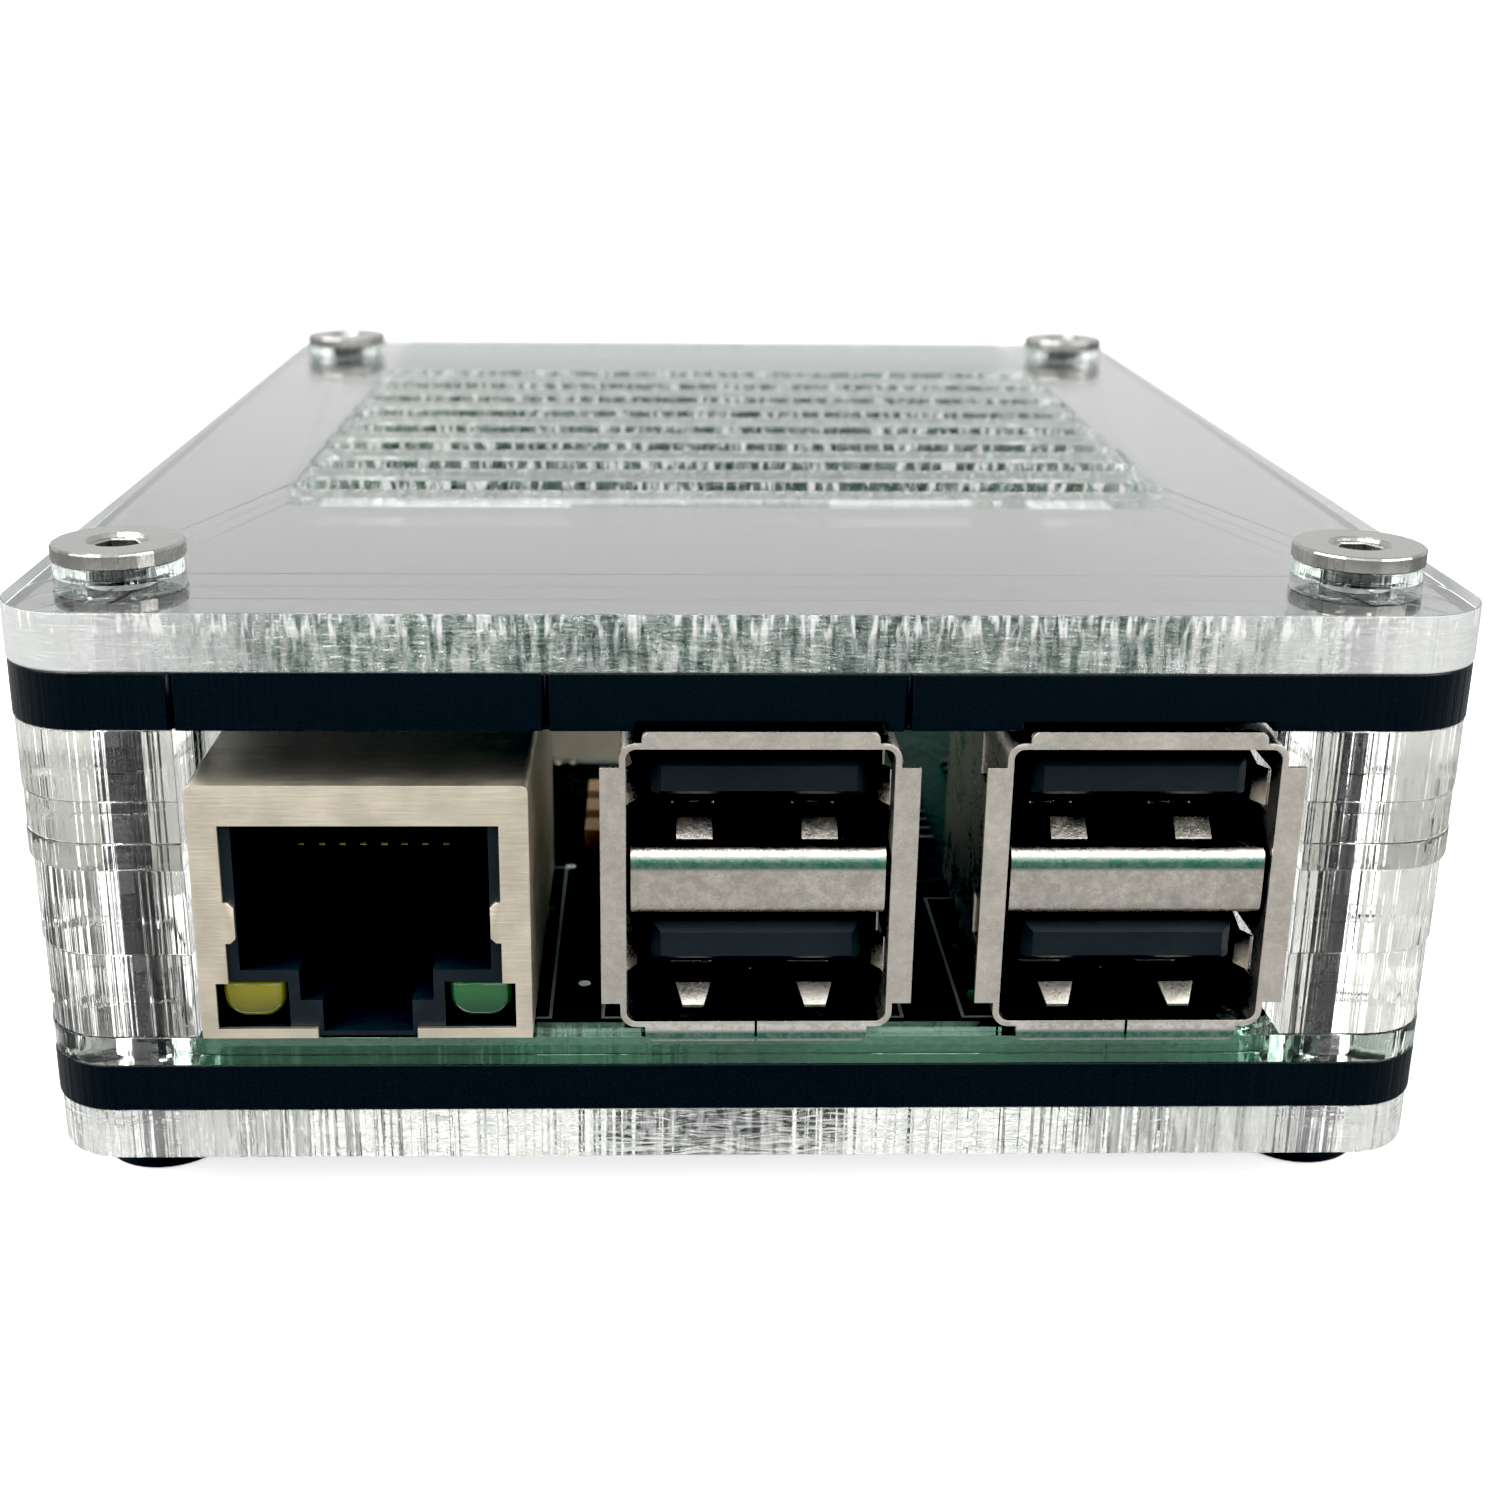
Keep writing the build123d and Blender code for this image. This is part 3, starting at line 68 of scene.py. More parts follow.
# ---------------------------------------------------------------- material building blocks
class Shader:
    """A new material with short ways to add and link its nodes."""

    def __init__(self, name):
        self.material = bpy.data.materials.new(name)
        self.material.use_nodes = True
        self.tree = self.material.node_tree
        self.tree.nodes.clear()
        self.output = self.add("ShaderNodeOutputMaterial")
        self.coords = self.add("ShaderNodeTexCoord").outputs["Object"]

    def add(self, kind, **settings):
        """New node of a kind, with its settings."""
        node = self.tree.nodes.new(kind)
        for key, value in settings.items():
            setattr(node, key, value)
        return node

    def link(self, source, target):
        self.tree.links.new(source, target)

    def feed(self, target, value):
        """Sets an input to a number or colour, or links it to another node's output."""
        if isinstance(value, bpy.types.NodeSocket):
            self.link(value, target)
        elif isinstance(value, tuple) and len(value) == 3 and target.type == "RGBA":
            target.default_value = (*value, 1.0)
        else:
            target.default_value = value

    def axes(self, vector):
        """The X, Y and Z parts of a vector."""
        node = self.add("ShaderNodeSeparateXYZ")
        self.link(vector, node.inputs[0])
        return node.outputs

    def scaled(self, scale):
        """Object coordinates stretched by a factor on each axis."""
        node = self.add("ShaderNodeMapping")
        self.link(self.coords, node.inputs["Vector"])
        node.inputs["Scale"].default_value = scale
        return node.outputs["Vector"]

    def noise(self, scale, detail=3.0, roughness=0.55, distortion=0.0, stretch=(1, 1, 1)):
        """Soft random pattern between zero and one."""
        node = self.add("ShaderNodeTexNoise")
        self.link(self.scaled(stretch), node.inputs["Vector"])
        node.inputs["Scale"].default_value = scale
        node.inputs["Detail"].default_value = detail
        node.inputs["Roughness"].default_value = roughness
        node.inputs["Distortion"].default_value = distortion
        return node.outputs["Fac"]

    def voronoi(self, scale, stretch=(1, 1, 1), feature="F1"):
        """Distance in a pattern of random cells."""
        node = self.add("ShaderNodeTexVoronoi", feature=feature)
        self.link(self.scaled(stretch), node.inputs["Vector"])
        node.inputs["Scale"].default_value = scale
        return node.outputs["Distance"]

    def math(self, operation, a, b=0.0):
        node = self.add("ShaderNodeMath", operation=operation)
        self.feed(node.inputs[0], a)
        self.feed(node.inputs[1], b)
        return node.outputs[0]

    def remap(self, value, low, high, to_low, to_high):
        """Goes from to_low to to_high while value goes from low to high, and stays there beyond."""
        node = self.add("ShaderNodeMapRange", clamp=True)
        node.inputs["From Min"].default_value = low
        node.inputs["From Max"].default_value = high
        node.inputs["To Min"].default_value = to_low
        node.inputs["To Max"].default_value = to_high
        self.feed(node.inputs["Value"], value)
        return node.outputs[0]

    def mix(self, factor, first, second):
        """First colour at factor zero, second colour at factor one."""
        node = self.add("ShaderNodeMix", data_type="RGBA")
        self.feed(node.inputs["Factor"], factor)
        first_colour, second_colour = [socket for socket in node.inputs if socket.type == "RGBA"]
        self.feed(first_colour, first)
        self.feed(second_colour, second)
        return [socket for socket in node.outputs if socket.type == "RGBA"][0]

    def ramp(self, value, low, high, dark, light):
        """Colour that goes from dark to light while value goes from low to high."""
        return self.mix(self.remap(value, low, high, 0.0, 1.0), dark, light)

    def dimmed(self, color, factor):
        """Colour multiplied by a factor."""
        return self.mix(factor, (0.0, 0.0, 0.0), color)

    def painted_occlusion(self, reach, low=0.12, high=0.38, darkest=0.10):
        """Painted shade: a factor that is darkest inside narrow cavities and one where the surface is open to
        its surroundings.
        """
        node = self.add("ShaderNodeAmbientOcclusion", samples=6)
        node.inputs["Distance"].default_value = reach
        return self.remap(node.outputs["AO"], low, high, darkest, 1.0)

    def top_mask(self):
        """One on level faces that look up, zero elsewhere."""
        normal = self.add("ShaderNodeNewGeometry").outputs["Normal"]
        return self.remap(self.axes(normal)["Z"], 0.88, 0.98, 0.0, 1.0)

    def side_mask(self):
        """One on upright faces, zero on faces that look up or down."""
        normal = self.add("ShaderNodeNewGeometry").outputs["True Normal"]
        level = self.math("ABSOLUTE", self.axes(normal)["Z"])
        return self.remap(level, 0.3, 0.7, 1.0, 0.0)

    def band(self, low, high, blur):
        """One between two heights, fading out over a short distance."""
        height = self.axes(self.coords)["Z"]
        rising = self.remap(height, low - blur, low + blur, 0.0, 1.0)
        falling = self.remap(height, high - blur, high + blur, 1.0, 0.0)
        return self.math("MULTIPLY", rising, falling)

    def bump(self, height, distance):
        """Shading normal of a relief that is so deep."""
        node = self.add("ShaderNodeBump")
        self.link(height, node.inputs["Height"])
        node.inputs["Distance"].default_value = distance
        node.inputs["Strength"].default_value = 1.0
        return node.outputs["Normal"]

    def blend(self, factor, first, second):
        """First shader at factor zero, second shader at factor one."""
        node = self.add("ShaderNodeMixShader")
        self.link(factor, node.inputs["Fac"])
        self.link(first, node.inputs[1])
        self.link(second, node.inputs[2])
        return node.outputs[0]

    def principled(self, color, roughness, metallic=0.0, normal=None, **inputs):
        """General surface; further inputs are named with underscores for spaces."""
        node = self.add("ShaderNodeBsdfPrincipled")
        self.feed(node.inputs["Base Color"], color)
        self.feed(node.inputs["Roughness"], roughness)
        self.feed(node.inputs["Metallic"], metallic)
        for key, value in inputs.items():
            self.feed(node.inputs[key.replace("_", " ")], value)
        if normal is not None:
            self.link(normal, node.inputs["Normal"])
        return node.outputs[0]

    def finish(self, shader):
        """The material, once its surface is linked."""
        self.link(shader, self.output.inputs["Surface"])
        return self.material


# ---------------------------------------------------------------- materials
ACRYLIC_IOR = 1.49
GROOVE_DEPTH = 0.75 * MM
SHADOW_CLARITY = 0.72
# Colours of painted light in the clear sheets: dark green streaks, white streaks, and green shade over the
# vents.
PAINTED_BAR_SHADE = (0.16, 0.235, 0.20)
PAINTED_STREAK_WHITE = (0.93, 0.93, 0.92)
VENT_PAINTED_SHADE = (0.92, 0.94, 0.93)
# Each of these is a pair of places between which painted tints and painted streaks fade.
PAINTED_GREEN_EDGE = (27.0 * MM, 28.5 * MM)
VENT_SIDE_EDGE = (25.5 * MM, 26.2 * MM)
VENT_FRONT_EDGE = (-19.0 * MM, -18.0 * MM)
BARS_EDGE = (20.0 * MM, 30.0 * MM)
PAINTED_WHITE_EDGE = (22.0 * MM, 30.0 * MM)


def groove_relief(s, seed, lag):
    """Relief of a laser-cut edge: upright grooves of three widths, and lag lines across them."""
    fine = s.noise(3900.0 + seed, detail=1.0, stretch=(1, 1, 0.010))
    middle = s.noise(1500.0 + seed, detail=1.0, stretch=(1, 1, 0.016))
    broad = s.noise(480.0 + seed, detail=1.0, stretch=(1, 1, 0.03))
    waves = s.noise(1300.0 + seed, detail=1.0, distortion=0.8, stretch=(0.35, 0.35, 2.0))
    relief = s.math("MULTIPLY", fine, 0.22)
    for pattern, weight in ((middle, 0.45), (broad, 0.8), (waves, lag)):
        relief = s.math("ADD", relief, s.math("MULTIPLY", pattern, weight))
    return relief


def painted_white_mask(s, seed, off_centre, painted_white, painted_white_band):
    """How much painted white a cut edge takes: painted bright streaks in the middle of the sheet's width,
    even towards its ends.
    """
    streaky = s.noise(2600.0 + seed, detail=2.0, stretch=(1, 1, 0.22))
    ends = s.remap(off_centre, *PAINTED_WHITE_EDGE, 0.0, 0.60 * painted_white)
    streaks = s.remap(streaky, 0.50, 0.64, 0.0, painted_white)
    if painted_white_band:
        strongest = s.band(*painted_white_band, 0.20 * MM)
        streaks = s.math("MULTIPLY", streaks, s.remap(strongest, 0.0, 1.0, 0.35, 1.0))
    return s.math("MAXIMUM", streaks, ends)


def clear_acrylic(name, tint, streak=1.0, seed=0.0, lag=0.0, bars=0.0, painted_white=0.0, painted_white_band=None,
                  painted_vent_shade=None, painted_board_green=None):
    """Clear sheet: polished faces, and cut edges with the upright grooves and lag lines a laser leaves.

    bars is how dark the painted dark green streaks in the cut edges are, and painted_white how white the
    painted bright streaks between them; both stand in for light and shade seen through the edges.
    Both belong to the middle of the sheet's width. Towards its ends the painted white is even and the bars
    fade.
    painted_white_band is a pair of heights between which the painted white streaks are strongest.
    painted_board_green is a painted reflection of the green board behind the middle of the sheet.
    painted_vent_shade is a darker tint painted as shade onto the cut edges of the vented middle of a sheet,
    where the whole sheet also takes a faint painted green shade.
    """
    s = Shader(name)
    side = s.side_mask()
    across, along, _ = s.axes(s.coords)
    off_centre = s.math("ABSOLUTE", across)
    haze = s.noise(160.0, detail=4.0)
    color = s.ramp(haze, 0.3, 0.7, tint, tuple(min(1.0, c * 1.01) for c in tint))
    # Painted reflection of the green board in the middle of the sheet.
    if painted_board_green:
        color = s.mix(s.remap(off_centre, *PAINTED_GREEN_EDGE, 1.0, 0.0), color, painted_board_green)
    # Painted shade over the vented middle, darker on the cut edges.
    if painted_vent_shade:
        vented = s.math("MULTIPLY", s.remap(off_centre, *VENT_SIDE_EDGE, 1.0, 0.0),
                        s.remap(along, *VENT_FRONT_EDGE, 0.0, 1.0))
        color = s.mix(vented, color, VENT_PAINTED_SHADE)
        color = s.mix(s.math("MULTIPLY", vented, side), color, painted_vent_shade)
    # Painted dark green streaks in the cut edges, standing in for the board and the shade seen through them.
    if bars:
        upright = s.noise(2100.0 + seed, detail=2.0, stretch=(1, 1, 0.15))
        dark_bars = s.math("MULTIPLY", s.remap(upright, 0.48, 0.62, 0.0, bars), side)
        fading = s.remap(off_centre, *BARS_EDGE, 1.0, 0.25)
        color = s.mix(s.math("MULTIPLY", dark_bars, fading), color, PAINTED_BAR_SHADE)

    glass = s.add("ShaderNodeBsdfGlass")
    relief = s.math("MULTIPLY", groove_relief(s, seed, lag), side)
    s.feed(glass.inputs["Color"], color)
    s.feed(glass.inputs["Roughness"], s.remap(haze, 0.4, 0.75, 0.0, 0.008))
    s.feed(glass.inputs["IOR"], ACRYLIC_IOR)
    s.feed(glass.inputs["Normal"], s.bump(relief, GROOVE_DEPTH * streak))
    see_through = s.add("ShaderNodeBsdfTransparent")
    s.feed(see_through.inputs["Color"], tuple(c * SHADOW_CLARITY for c in tint))
    path = s.add("ShaderNodeLightPath")
    rays = s.math("MAXIMUM", path.outputs["Is Shadow Ray"], path.outputs["Is Diffuse Ray"])
    shader = s.blend(rays, glass.outputs[0], see_through.outputs[0])
    # Painted white streaks on the cut edges, a diffuse white standing in for bright light seen through them.
    if painted_white:
        white = s.add("ShaderNodeBsdfDiffuse")
        s.feed(white.inputs["Color"], PAINTED_STREAK_WHITE)
        pale = s.math("MULTIPLY", painted_white_mask(s, seed, off_centre, painted_white, painted_white_band), side)
        shader = s.blend(pale, shader, white.outputs[0])
    return s.finish(shader)


def black_acrylic(name):
    """Black sheet: glossy faces with faint scratches, and satin grooved edges."""
    s = Shader(name)
    side = s.side_mask()
    grooves = s.noise(3600.0, detail=1.0, stretch=(1, 1, 0.02))
    broad = s.noise(700.0, detail=1.0, stretch=(1, 1, 0.04))
    height = s.math("MULTIPLY", s.math("ADD", grooves, broad), side)
    scratches = s.noise(900.0, detail=6.0, roughness=0.75, stretch=(1, 0.15, 1))
    roughness = s.math("ADD", s.remap(scratches, 0.35, 0.75, 0.03, 0.09), s.math("MULTIPLY", side, 0.22))
    dust = s.noise(2600.0, detail=3.0, roughness=0.7)
    color = s.ramp(dust, 0.66, 0.86, (0.0056, 0.0063, 0.0071), (0.009, 0.0095, 0.010))
    gloss = s.math("SUBTRACT", 0.42, s.math("MULTIPLY", side, 0.24))
    normal = s.bump(height, 0.06 * MM)
    return s.finish(s.principled(color, roughness, normal=normal, Specular_IOR_Level=gloss))


# Colours of the painted green reflection of the board and the painted glint on plated metal.
BOARD_GREEN_REFLECTION = (0.075, 0.225, 0.165)
PAINTED_GLINT_WHITE = (1.0, 0.99, 0.94)


def plated_sheet(name, color, roughness=0.32, grain=(1, 1, 1), grain_depth=0.012 * MM, mottling=0.10,
                 reach=6.0 * MM, darkest=0.05, open_level=0.38, speckle=0.0, painted_top_shade=0.0,
                 painted_reflection_band=None, painted_glint_band=None):
    """Nickel- or tin-plated sheet metal: rolled grain, light mottling, and painted shade that darkens its
    cavities.

    painted_reflection_band is a pair of heights between which the metal takes a painted reflection of the
    green board, and painted_glint_band one where a bend takes a painted glint.
    painted_top_shade is how dark the painted shade on level upper faces is; it is a little lighter in random
    spots.
    """
    s = Shader(name)
    rolled = s.noise(5200.0, detail=4.0, roughness=0.7, stretch=grain)
    blotches = s.noise(420.0, detail=5.0, roughness=0.6)
    pits = s.noise(2300.0, detail=3.0, roughness=0.7)
    darker = tuple(c * (1.0 - 2.2 * mottling) for c in color)
    tone = s.ramp(blotches, 0.30, 0.70, darker, color)
    tone = s.mix(s.remap(rolled, 0.35, 0.65, 0.0, 0.35), tone, tuple(c * 0.80 for c in color))
    tone = s.dimmed(tone, s.remap(pits, 0.42, 0.60, 1.0 - speckle, 1.0))
    # Painted reflection of the green board.
    if painted_reflection_band:
        painted_board_green = s.math("MULTIPLY", s.band(*painted_reflection_band, 0.10 * MM), s.remap(pits, 0.35, 0.60, 0.75, 1.0))
        tone = s.mix(painted_board_green, tone, BOARD_GREEN_REFLECTION)
    # Painted glint along a bend.
    if painted_glint_band:
        glint = s.math("MULTIPLY", s.band(*painted_glint_band, 0.05 * MM), s.remap(pits, 0.42, 0.52, 0.15, 1.0))
        tone = s.mix(glint, tone, PAINTED_GLINT_WHITE)
    # Painted shade on level upper faces.
    if painted_top_shade:
        top_shade = s.math("MULTIPLY", s.top_mask(), s.remap(pits, 0.50, 0.66, painted_top_shade, painted_top_shade * 0.80))
        tone = s.dimmed(tone, s.math("SUBTRACT", 1.0, top_shade))
    # Painted shade in cavities.
    tone = s.dimmed(tone, s.painted_occlusion(reach, high=open_level, darkest=darkest))
    rough = s.math("ADD", s.remap(blotches, 0.3, 0.7, roughness - 0.06, roughness + 0.08),
                   s.remap(rolled, 0.3, 0.7, -0.04, 0.05))
    height = s.math("ADD", rolled, s.math("MULTIPLY", pits, 3.0 * speckle))
    return s.finish(s.principled(tone, rough, metallic=1.0, normal=s.bump(height, grain_depth)))


def moulded(name, color, roughness=0.45, grain=3200.0, darkest=0.25):
    """Moulded plastic with a fine matt grain and slightly uneven sheen, and painted shade that darkens its
    corners and dims its sheen there.
    """
    s = Shader(name)
    grains = s.noise(grain, detail=4.0, roughness=0.6)
    cloud = s.noise(260.0, detail=3.0)
    light = tuple(min(1.0, c * 1.35 + 0.002) for c in color)
    # Painted shade in corners, on the colour and on the sheen.
    painted_shade = s.painted_occlusion(10.0 * MM, darkest=darkest)
    tone = s.dimmed(s.ramp(cloud, 0.3, 0.7, color, light), painted_shade)
    rough = s.math("ADD", s.remap(grains, 0.3, 0.7, roughness - 0.07, roughness + 0.07),
                   s.remap(cloud, 0.3, 0.7, -0.04, 0.05))
    sheen = s.math("MULTIPLY", painted_shade, 0.35)
    return s.finish(s.principled(tone, rough, normal=s.bump(grains, 0.01 * MM), Specular_IOR_Level=sheen))


def solder_mask(name):
    """Green board: darker mask over copper pours, faint raised tracks, a pale laminate edge, and painted
    shade that darkens the mask and dims its sheen among the parts.
    """
    s = Shader(name)
    tracks = s.voronoi(330.0, stretch=(1, 1, 0.01), feature="DISTANCE_TO_EDGE")
    pours = s.noise(110.0, detail=1.0)
    track_mask = s.remap(tracks, 0.04, 0.07, 1.0, 0.0)
    pour_mask = s.remap(pours, 0.47, 0.50, 0.0, 1.0)
    copper = s.math("MAXIMUM", track_mask, pour_mask)
    mask_color = s.mix(copper, (0.003, 0.052, 0.026), (0.006, 0.080, 0.042))
    fibre = s.noise(2600.0, detail=3.0, stretch=(1, 1, 3))
    edge_color = s.ramp(fibre, 0.3, 0.7, (0.080, 0.26, 0.14), (0.14, 0.38, 0.22))
    # Painted shade on the mask where the parts close the board in.
    painted_shade = s.painted_occlusion(30.0 * MM, low=0.22, high=0.95, darkest=0.02)
    color = s.mix(s.side_mask(), s.dimmed(mask_color, painted_shade), edge_color)
    sheen = s.math("MULTIPLY", painted_shade, 0.40)
    rough = s.remap(fibre, 0.3, 0.7, 0.28, 0.42)
    return s.finish(s.principled(color, rough, normal=s.bump(copper, 0.02 * MM), Specular_IOR_Level=sheen))


def lens(name, bright, painted_shaded_color, glow):
    """Coloured light pipe with a painted highlight towards its top, painted shade towards its lower rim, and
    a faint painted glow.
    """
    s = Shader(name)
    cloud = s.noise(900.0, detail=3.0, distortion=0.6)
    generated = s.add("ShaderNodeTexCoord").outputs["Generated"]
    # Painted highlight towards the top and painted shade towards the lower rim.
    level = s.math("ADD", s.axes(generated)["Z"], s.math("MULTIPLY", cloud, 0.3))
    tone = s.ramp(level, 0.35, 1.05, painted_shaded_color, bright)
    rough = s.remap(cloud, 0.3, 0.7, 0.06, 0.16)
    return s.finish(s.principled(tone, rough, normal=s.bump(cloud, 0.05 * MM), Transmission_Weight=0.2,
                                 Emission_Color=tone, Emission_Strength=glow, Coat_Weight=0.8))


# Painted shade for the floor seen far inside the case.
PAINTED_SHADE_PATCH = (0.010, 0.028, 0.020)


def pale_floor(name):
    """Pale paper: bright to the camera and through clear plastic, dimmer in reflections so gloss keeps depth.

    The part of it that shows through the open inside of the case, well behind the object, is painted dark as
    shade.
    """
    s = Shader(name)
    cloud = s.noise(6.0, detail=4.0)
    path = s.add("ShaderNodeLightPath")
    direct = path.outputs["Is Camera Ray"]
    through = path.outputs["Is Transmission Ray"]
    across, along, _ = s.axes(s.coords)
    central = s.remap(s.math("ABSOLUTE", across), 0.10, 0.16, 1.0, 0.0)
    beyond = s.math("MULTIPLY", central, s.remap(along, 0.075, 0.100, 0.0, 1.0))
    grey = s.ramp(cloud, 0.3, 0.7, (0.20, 0.20, 0.20), (0.24, 0.24, 0.24))
    white = s.ramp(cloud, 0.3, 0.7, (0.90, 0.90, 0.90), (0.94, 0.94, 0.94))
    paper = s.mix(s.math("MAXIMUM", direct, through), grey, white)
    # Painted shade behind the object, for rays through the clear sheets.
    paper = s.mix(s.math("MULTIPLY", through, beyond), paper, PAINTED_SHADE_PATCH)
    glow = s.math("MAXIMUM", s.math("MULTIPLY", direct, 0.60),
                  s.math("MULTIPLY", through, s.remap(beyond, 0.0, 1.0, 0.75, 0.01)))
    rough = s.remap(cloud, 0.3, 0.7, 0.55, 0.65)
    return s.finish(s.principled(paper, rough, Specular_IOR_Level=0.1, Emission_Color=(1.0, 1.0, 1.0),
                                 Emission_Strength=glow))


NICKEL = (0.72, 0.665, 0.585)
BRIGHT_NICKEL = (0.92, 0.86, 0.765)
# Pairs of heights: the top plate's upper rim, where its painted white streaks are strongest, and the lower
# lips of the USB shells and the dividers' upper bend, each with a band of painted green reflection of the
# board and one of painted glint.
TOP_RIM = (30.2 * MM, 31.3 * MM)
LIP_PAINTED_REFLECTION = (9.95 * MM, 10.40 * MM)
LIP_PAINTED_GLINT = (10.50 * MM, 10.80 * MM)
DIVIDER_PAINTED_REFLECTION = (18.75 * MM, 19.35 * MM)
DIVIDER_PAINTED_GLINT = (19.42 * MM, 19.66 * MM)

# Each entry is a maker and what it needs; the material takes its entry's name.
RECIPES = {
    "clear_acrylic_top": (clear_acrylic, dict(
        tint=(0.985, 0.987, 0.984), streak=0.60, lag=0.80, bars=0.70, painted_white=0.70, painted_white_band=TOP_RIM,
        painted_vent_shade=(0.60, 0.67, 0.635))),
    "clear_acrylic": (clear_acrylic, dict(tint=(0.980, 0.980, 0.974), streak=0.55, seed=37.0, bars=0.14)),
    "nest_acrylic": (clear_acrylic, dict(
        tint=(0.982, 0.984, 0.980), streak=0.08, seed=91.0, painted_board_green=(0.87, 0.985, 0.925))),
    "base_acrylic": (clear_acrylic, dict(
        tint=(0.982, 0.983, 0.979), streak=0.7, seed=17.0, lag=0.20, bars=0.16, painted_white=0.25)),
    "clear_nylon": (clear_acrylic, dict(tint=(0.93, 0.95, 0.94), streak=0.3)),
    "black_acrylic": (black_acrylic, {}),
    "solder_mask": (solder_mask, {}),
    "screw_steel": (plated_sheet, dict(color=(0.43, 0.42, 0.40), roughness=0.24, grain=(1, 1, 0.1))),
    "heat_spreader": (plated_sheet, dict(color=(0.50, 0.50, 0.49), roughness=0.38, mottling=0.08)),
    "tin_plate": (plated_sheet, dict(color=NICKEL, mottling=0.06, speckle=0.10)),
    # The USB metal takes painted shade on level tops and in cavities, a painted green reflection of the
    # board, and a painted glint.
    "usb_plate": (plated_sheet, dict(
        color=BRIGHT_NICKEL, roughness=0.28, mottling=0.06, speckle=0.12, painted_top_shade=0.9,
        painted_reflection_band=LIP_PAINTED_REFLECTION, painted_glint_band=LIP_PAINTED_GLINT)),
    "divider_plate": (plated_sheet, dict(
        color=BRIGHT_NICKEL, roughness=0.24, mottling=0.08, speckle=0.22, grain_depth=0.020 * MM,
        reach=3.0 * MM, darkest=0.30, painted_top_shade=0.9, painted_reflection_band=DIVIDER_PAINTED_REFLECTION, painted_glint_band=DIVIDER_PAINTED_GLINT)),
    "jack_plate": (plated_sheet, dict(
        color=(0.94, 0.85, 0.69), roughness=0.40, grain=(0.06, 0.5, 1), grain_depth=0.020 * MM,
        mottling=0.05)),
    # The gold contacts deep in the jack are darkened almost to black by painted shade.
    "gold_plate": (plated_sheet, dict(
        color=(0.80, 0.60, 0.27), roughness=0.28, mottling=0.05, reach=20.0 * MM, open_level=0.9,
        darkest=0.0)),
    "solder_tin": (plated_sheet, dict(color=(0.62, 0.61, 0.58), roughness=0.26, mottling=0.08)),
    "black_nylon": (moulded, dict(color=(0.006, 0.006, 0.007), roughness=0.5)),
    "chip_substrate": (moulded, dict(color=(0.02, 0.09, 0.04), roughness=0.4)),
    "chip_black": (moulded, dict(color=(0.012, 0.012, 0.013), roughness=0.55, grain=5200.0)),
    "ceramic_tan": (moulded, dict(color=(0.27, 0.17, 0.09), roughness=0.5)),
    "inductor_grey": (moulded, dict(color=(0.06, 0.06, 0.062), roughness=0.6)),
    "black_plastic": (moulded, dict(color=(0.0045, 0.0070, 0.0085), roughness=0.40, darkest=0.1)),
    "board_ink": (moulded, dict(color=(0.20, 0.22, 0.20), roughness=0.55)),
    "connector_cream": (moulded, dict(color=(0.46, 0.42, 0.34), roughness=0.5, darkest=0.12)),
    # The lenses take painted highlights and shade, and a faint painted glow.
    "led_red": (lens, dict(bright=(0.70, 0.07, 0.03), painted_shaded_color=(0.35, 0.02, 0.01), glow=0.05)),
    "led_green": (lens, dict(bright=(0.10, 0.50, 0.10), painted_shaded_color=(0.03, 0.22, 0.05), glow=0.05)),
    "lens_yellow": (lens, dict(bright=(0.28, 0.265, 0.006), painted_shaded_color=(0.10, 0.10, 0.010), glow=0.06)),
    "lens_green": (lens, dict(bright=(0.030, 0.155, 0.040), painted_shaded_color=(0.008, 0.055, 0.022), glow=0.05)),
}
MATERIALS = {name: maker(name, **needs) for name, (maker, needs) in RECIPES.items()}

# Nodes that look different from the rest of their material slot.
OWN_MATERIAL = {
    "ethernet_shield": "jack_plate",
    "board_nest": "nest_acrylic",
    "bottom_plate": "base_acrylic",
    "usb_divider_left": "divider_plate",
    "usb_divider_right": "divider_plate",
    "usb_shell_left": "usb_plate",
    "usb_shell_right": "usb_plate",
}


# ---------------------------------------------------------------- carried-over CAD nodes
WELD_DISTANCE = 0.0005 * MM
AIR_GAP = 0.015 * MM
BEVEL_ANGLE = math.radians(35)
USUAL_EDGE = 0.03
EDGE_MM = {
    "clear_acrylic_top": 0.10, "clear_acrylic": 0.08, "black_acrylic": 0.10, "tin_plate": 0.05,
    "black_plastic": 0.06, "chip_black": 0.05, "ceramic_tan": 0.05, "solder_mask": 0.04,
}


def dress(name, obj):
    """Finish, rounded edges and clean shading for a carried-over node; clear ones keep a thin air gap."""
    slot = SLOT_OF[name]
    obj.data.materials.clear()
    obj.data.materials.append(MATERIALS[OWN_MATERIAL.get(name, slot)])
    weld = obj.modifiers.new("weld", "WELD")
    weld.merge_threshold = WELD_DISTANCE
    if slot.startswith("clear"):
        gap = obj.modifiers.new("air_gap", "DISPLACE")
        gap.strength = -AIR_GAP
        gap.mid_level = 0.0
    bevel = obj.modifiers.new("rounded_edges", "BEVEL")
    bevel.width = EDGE_MM.get(slot, USUAL_EDGE) * MM
    bevel.segments = 2
    bevel.limit_method = "ANGLE"
    bevel.angle_limit = BEVEL_ANGLE
    bevel.use_clamp_overlap = True
    normals = obj.modifiers.new("flat_faces", "WEIGHTED_NORMAL")
    normals.keep_sharp = False
    for polygon in obj.data.polygons:
        polygon.use_smooth = True


for node_name, node_object in nodes.items():
    dress(node_name, node_object)


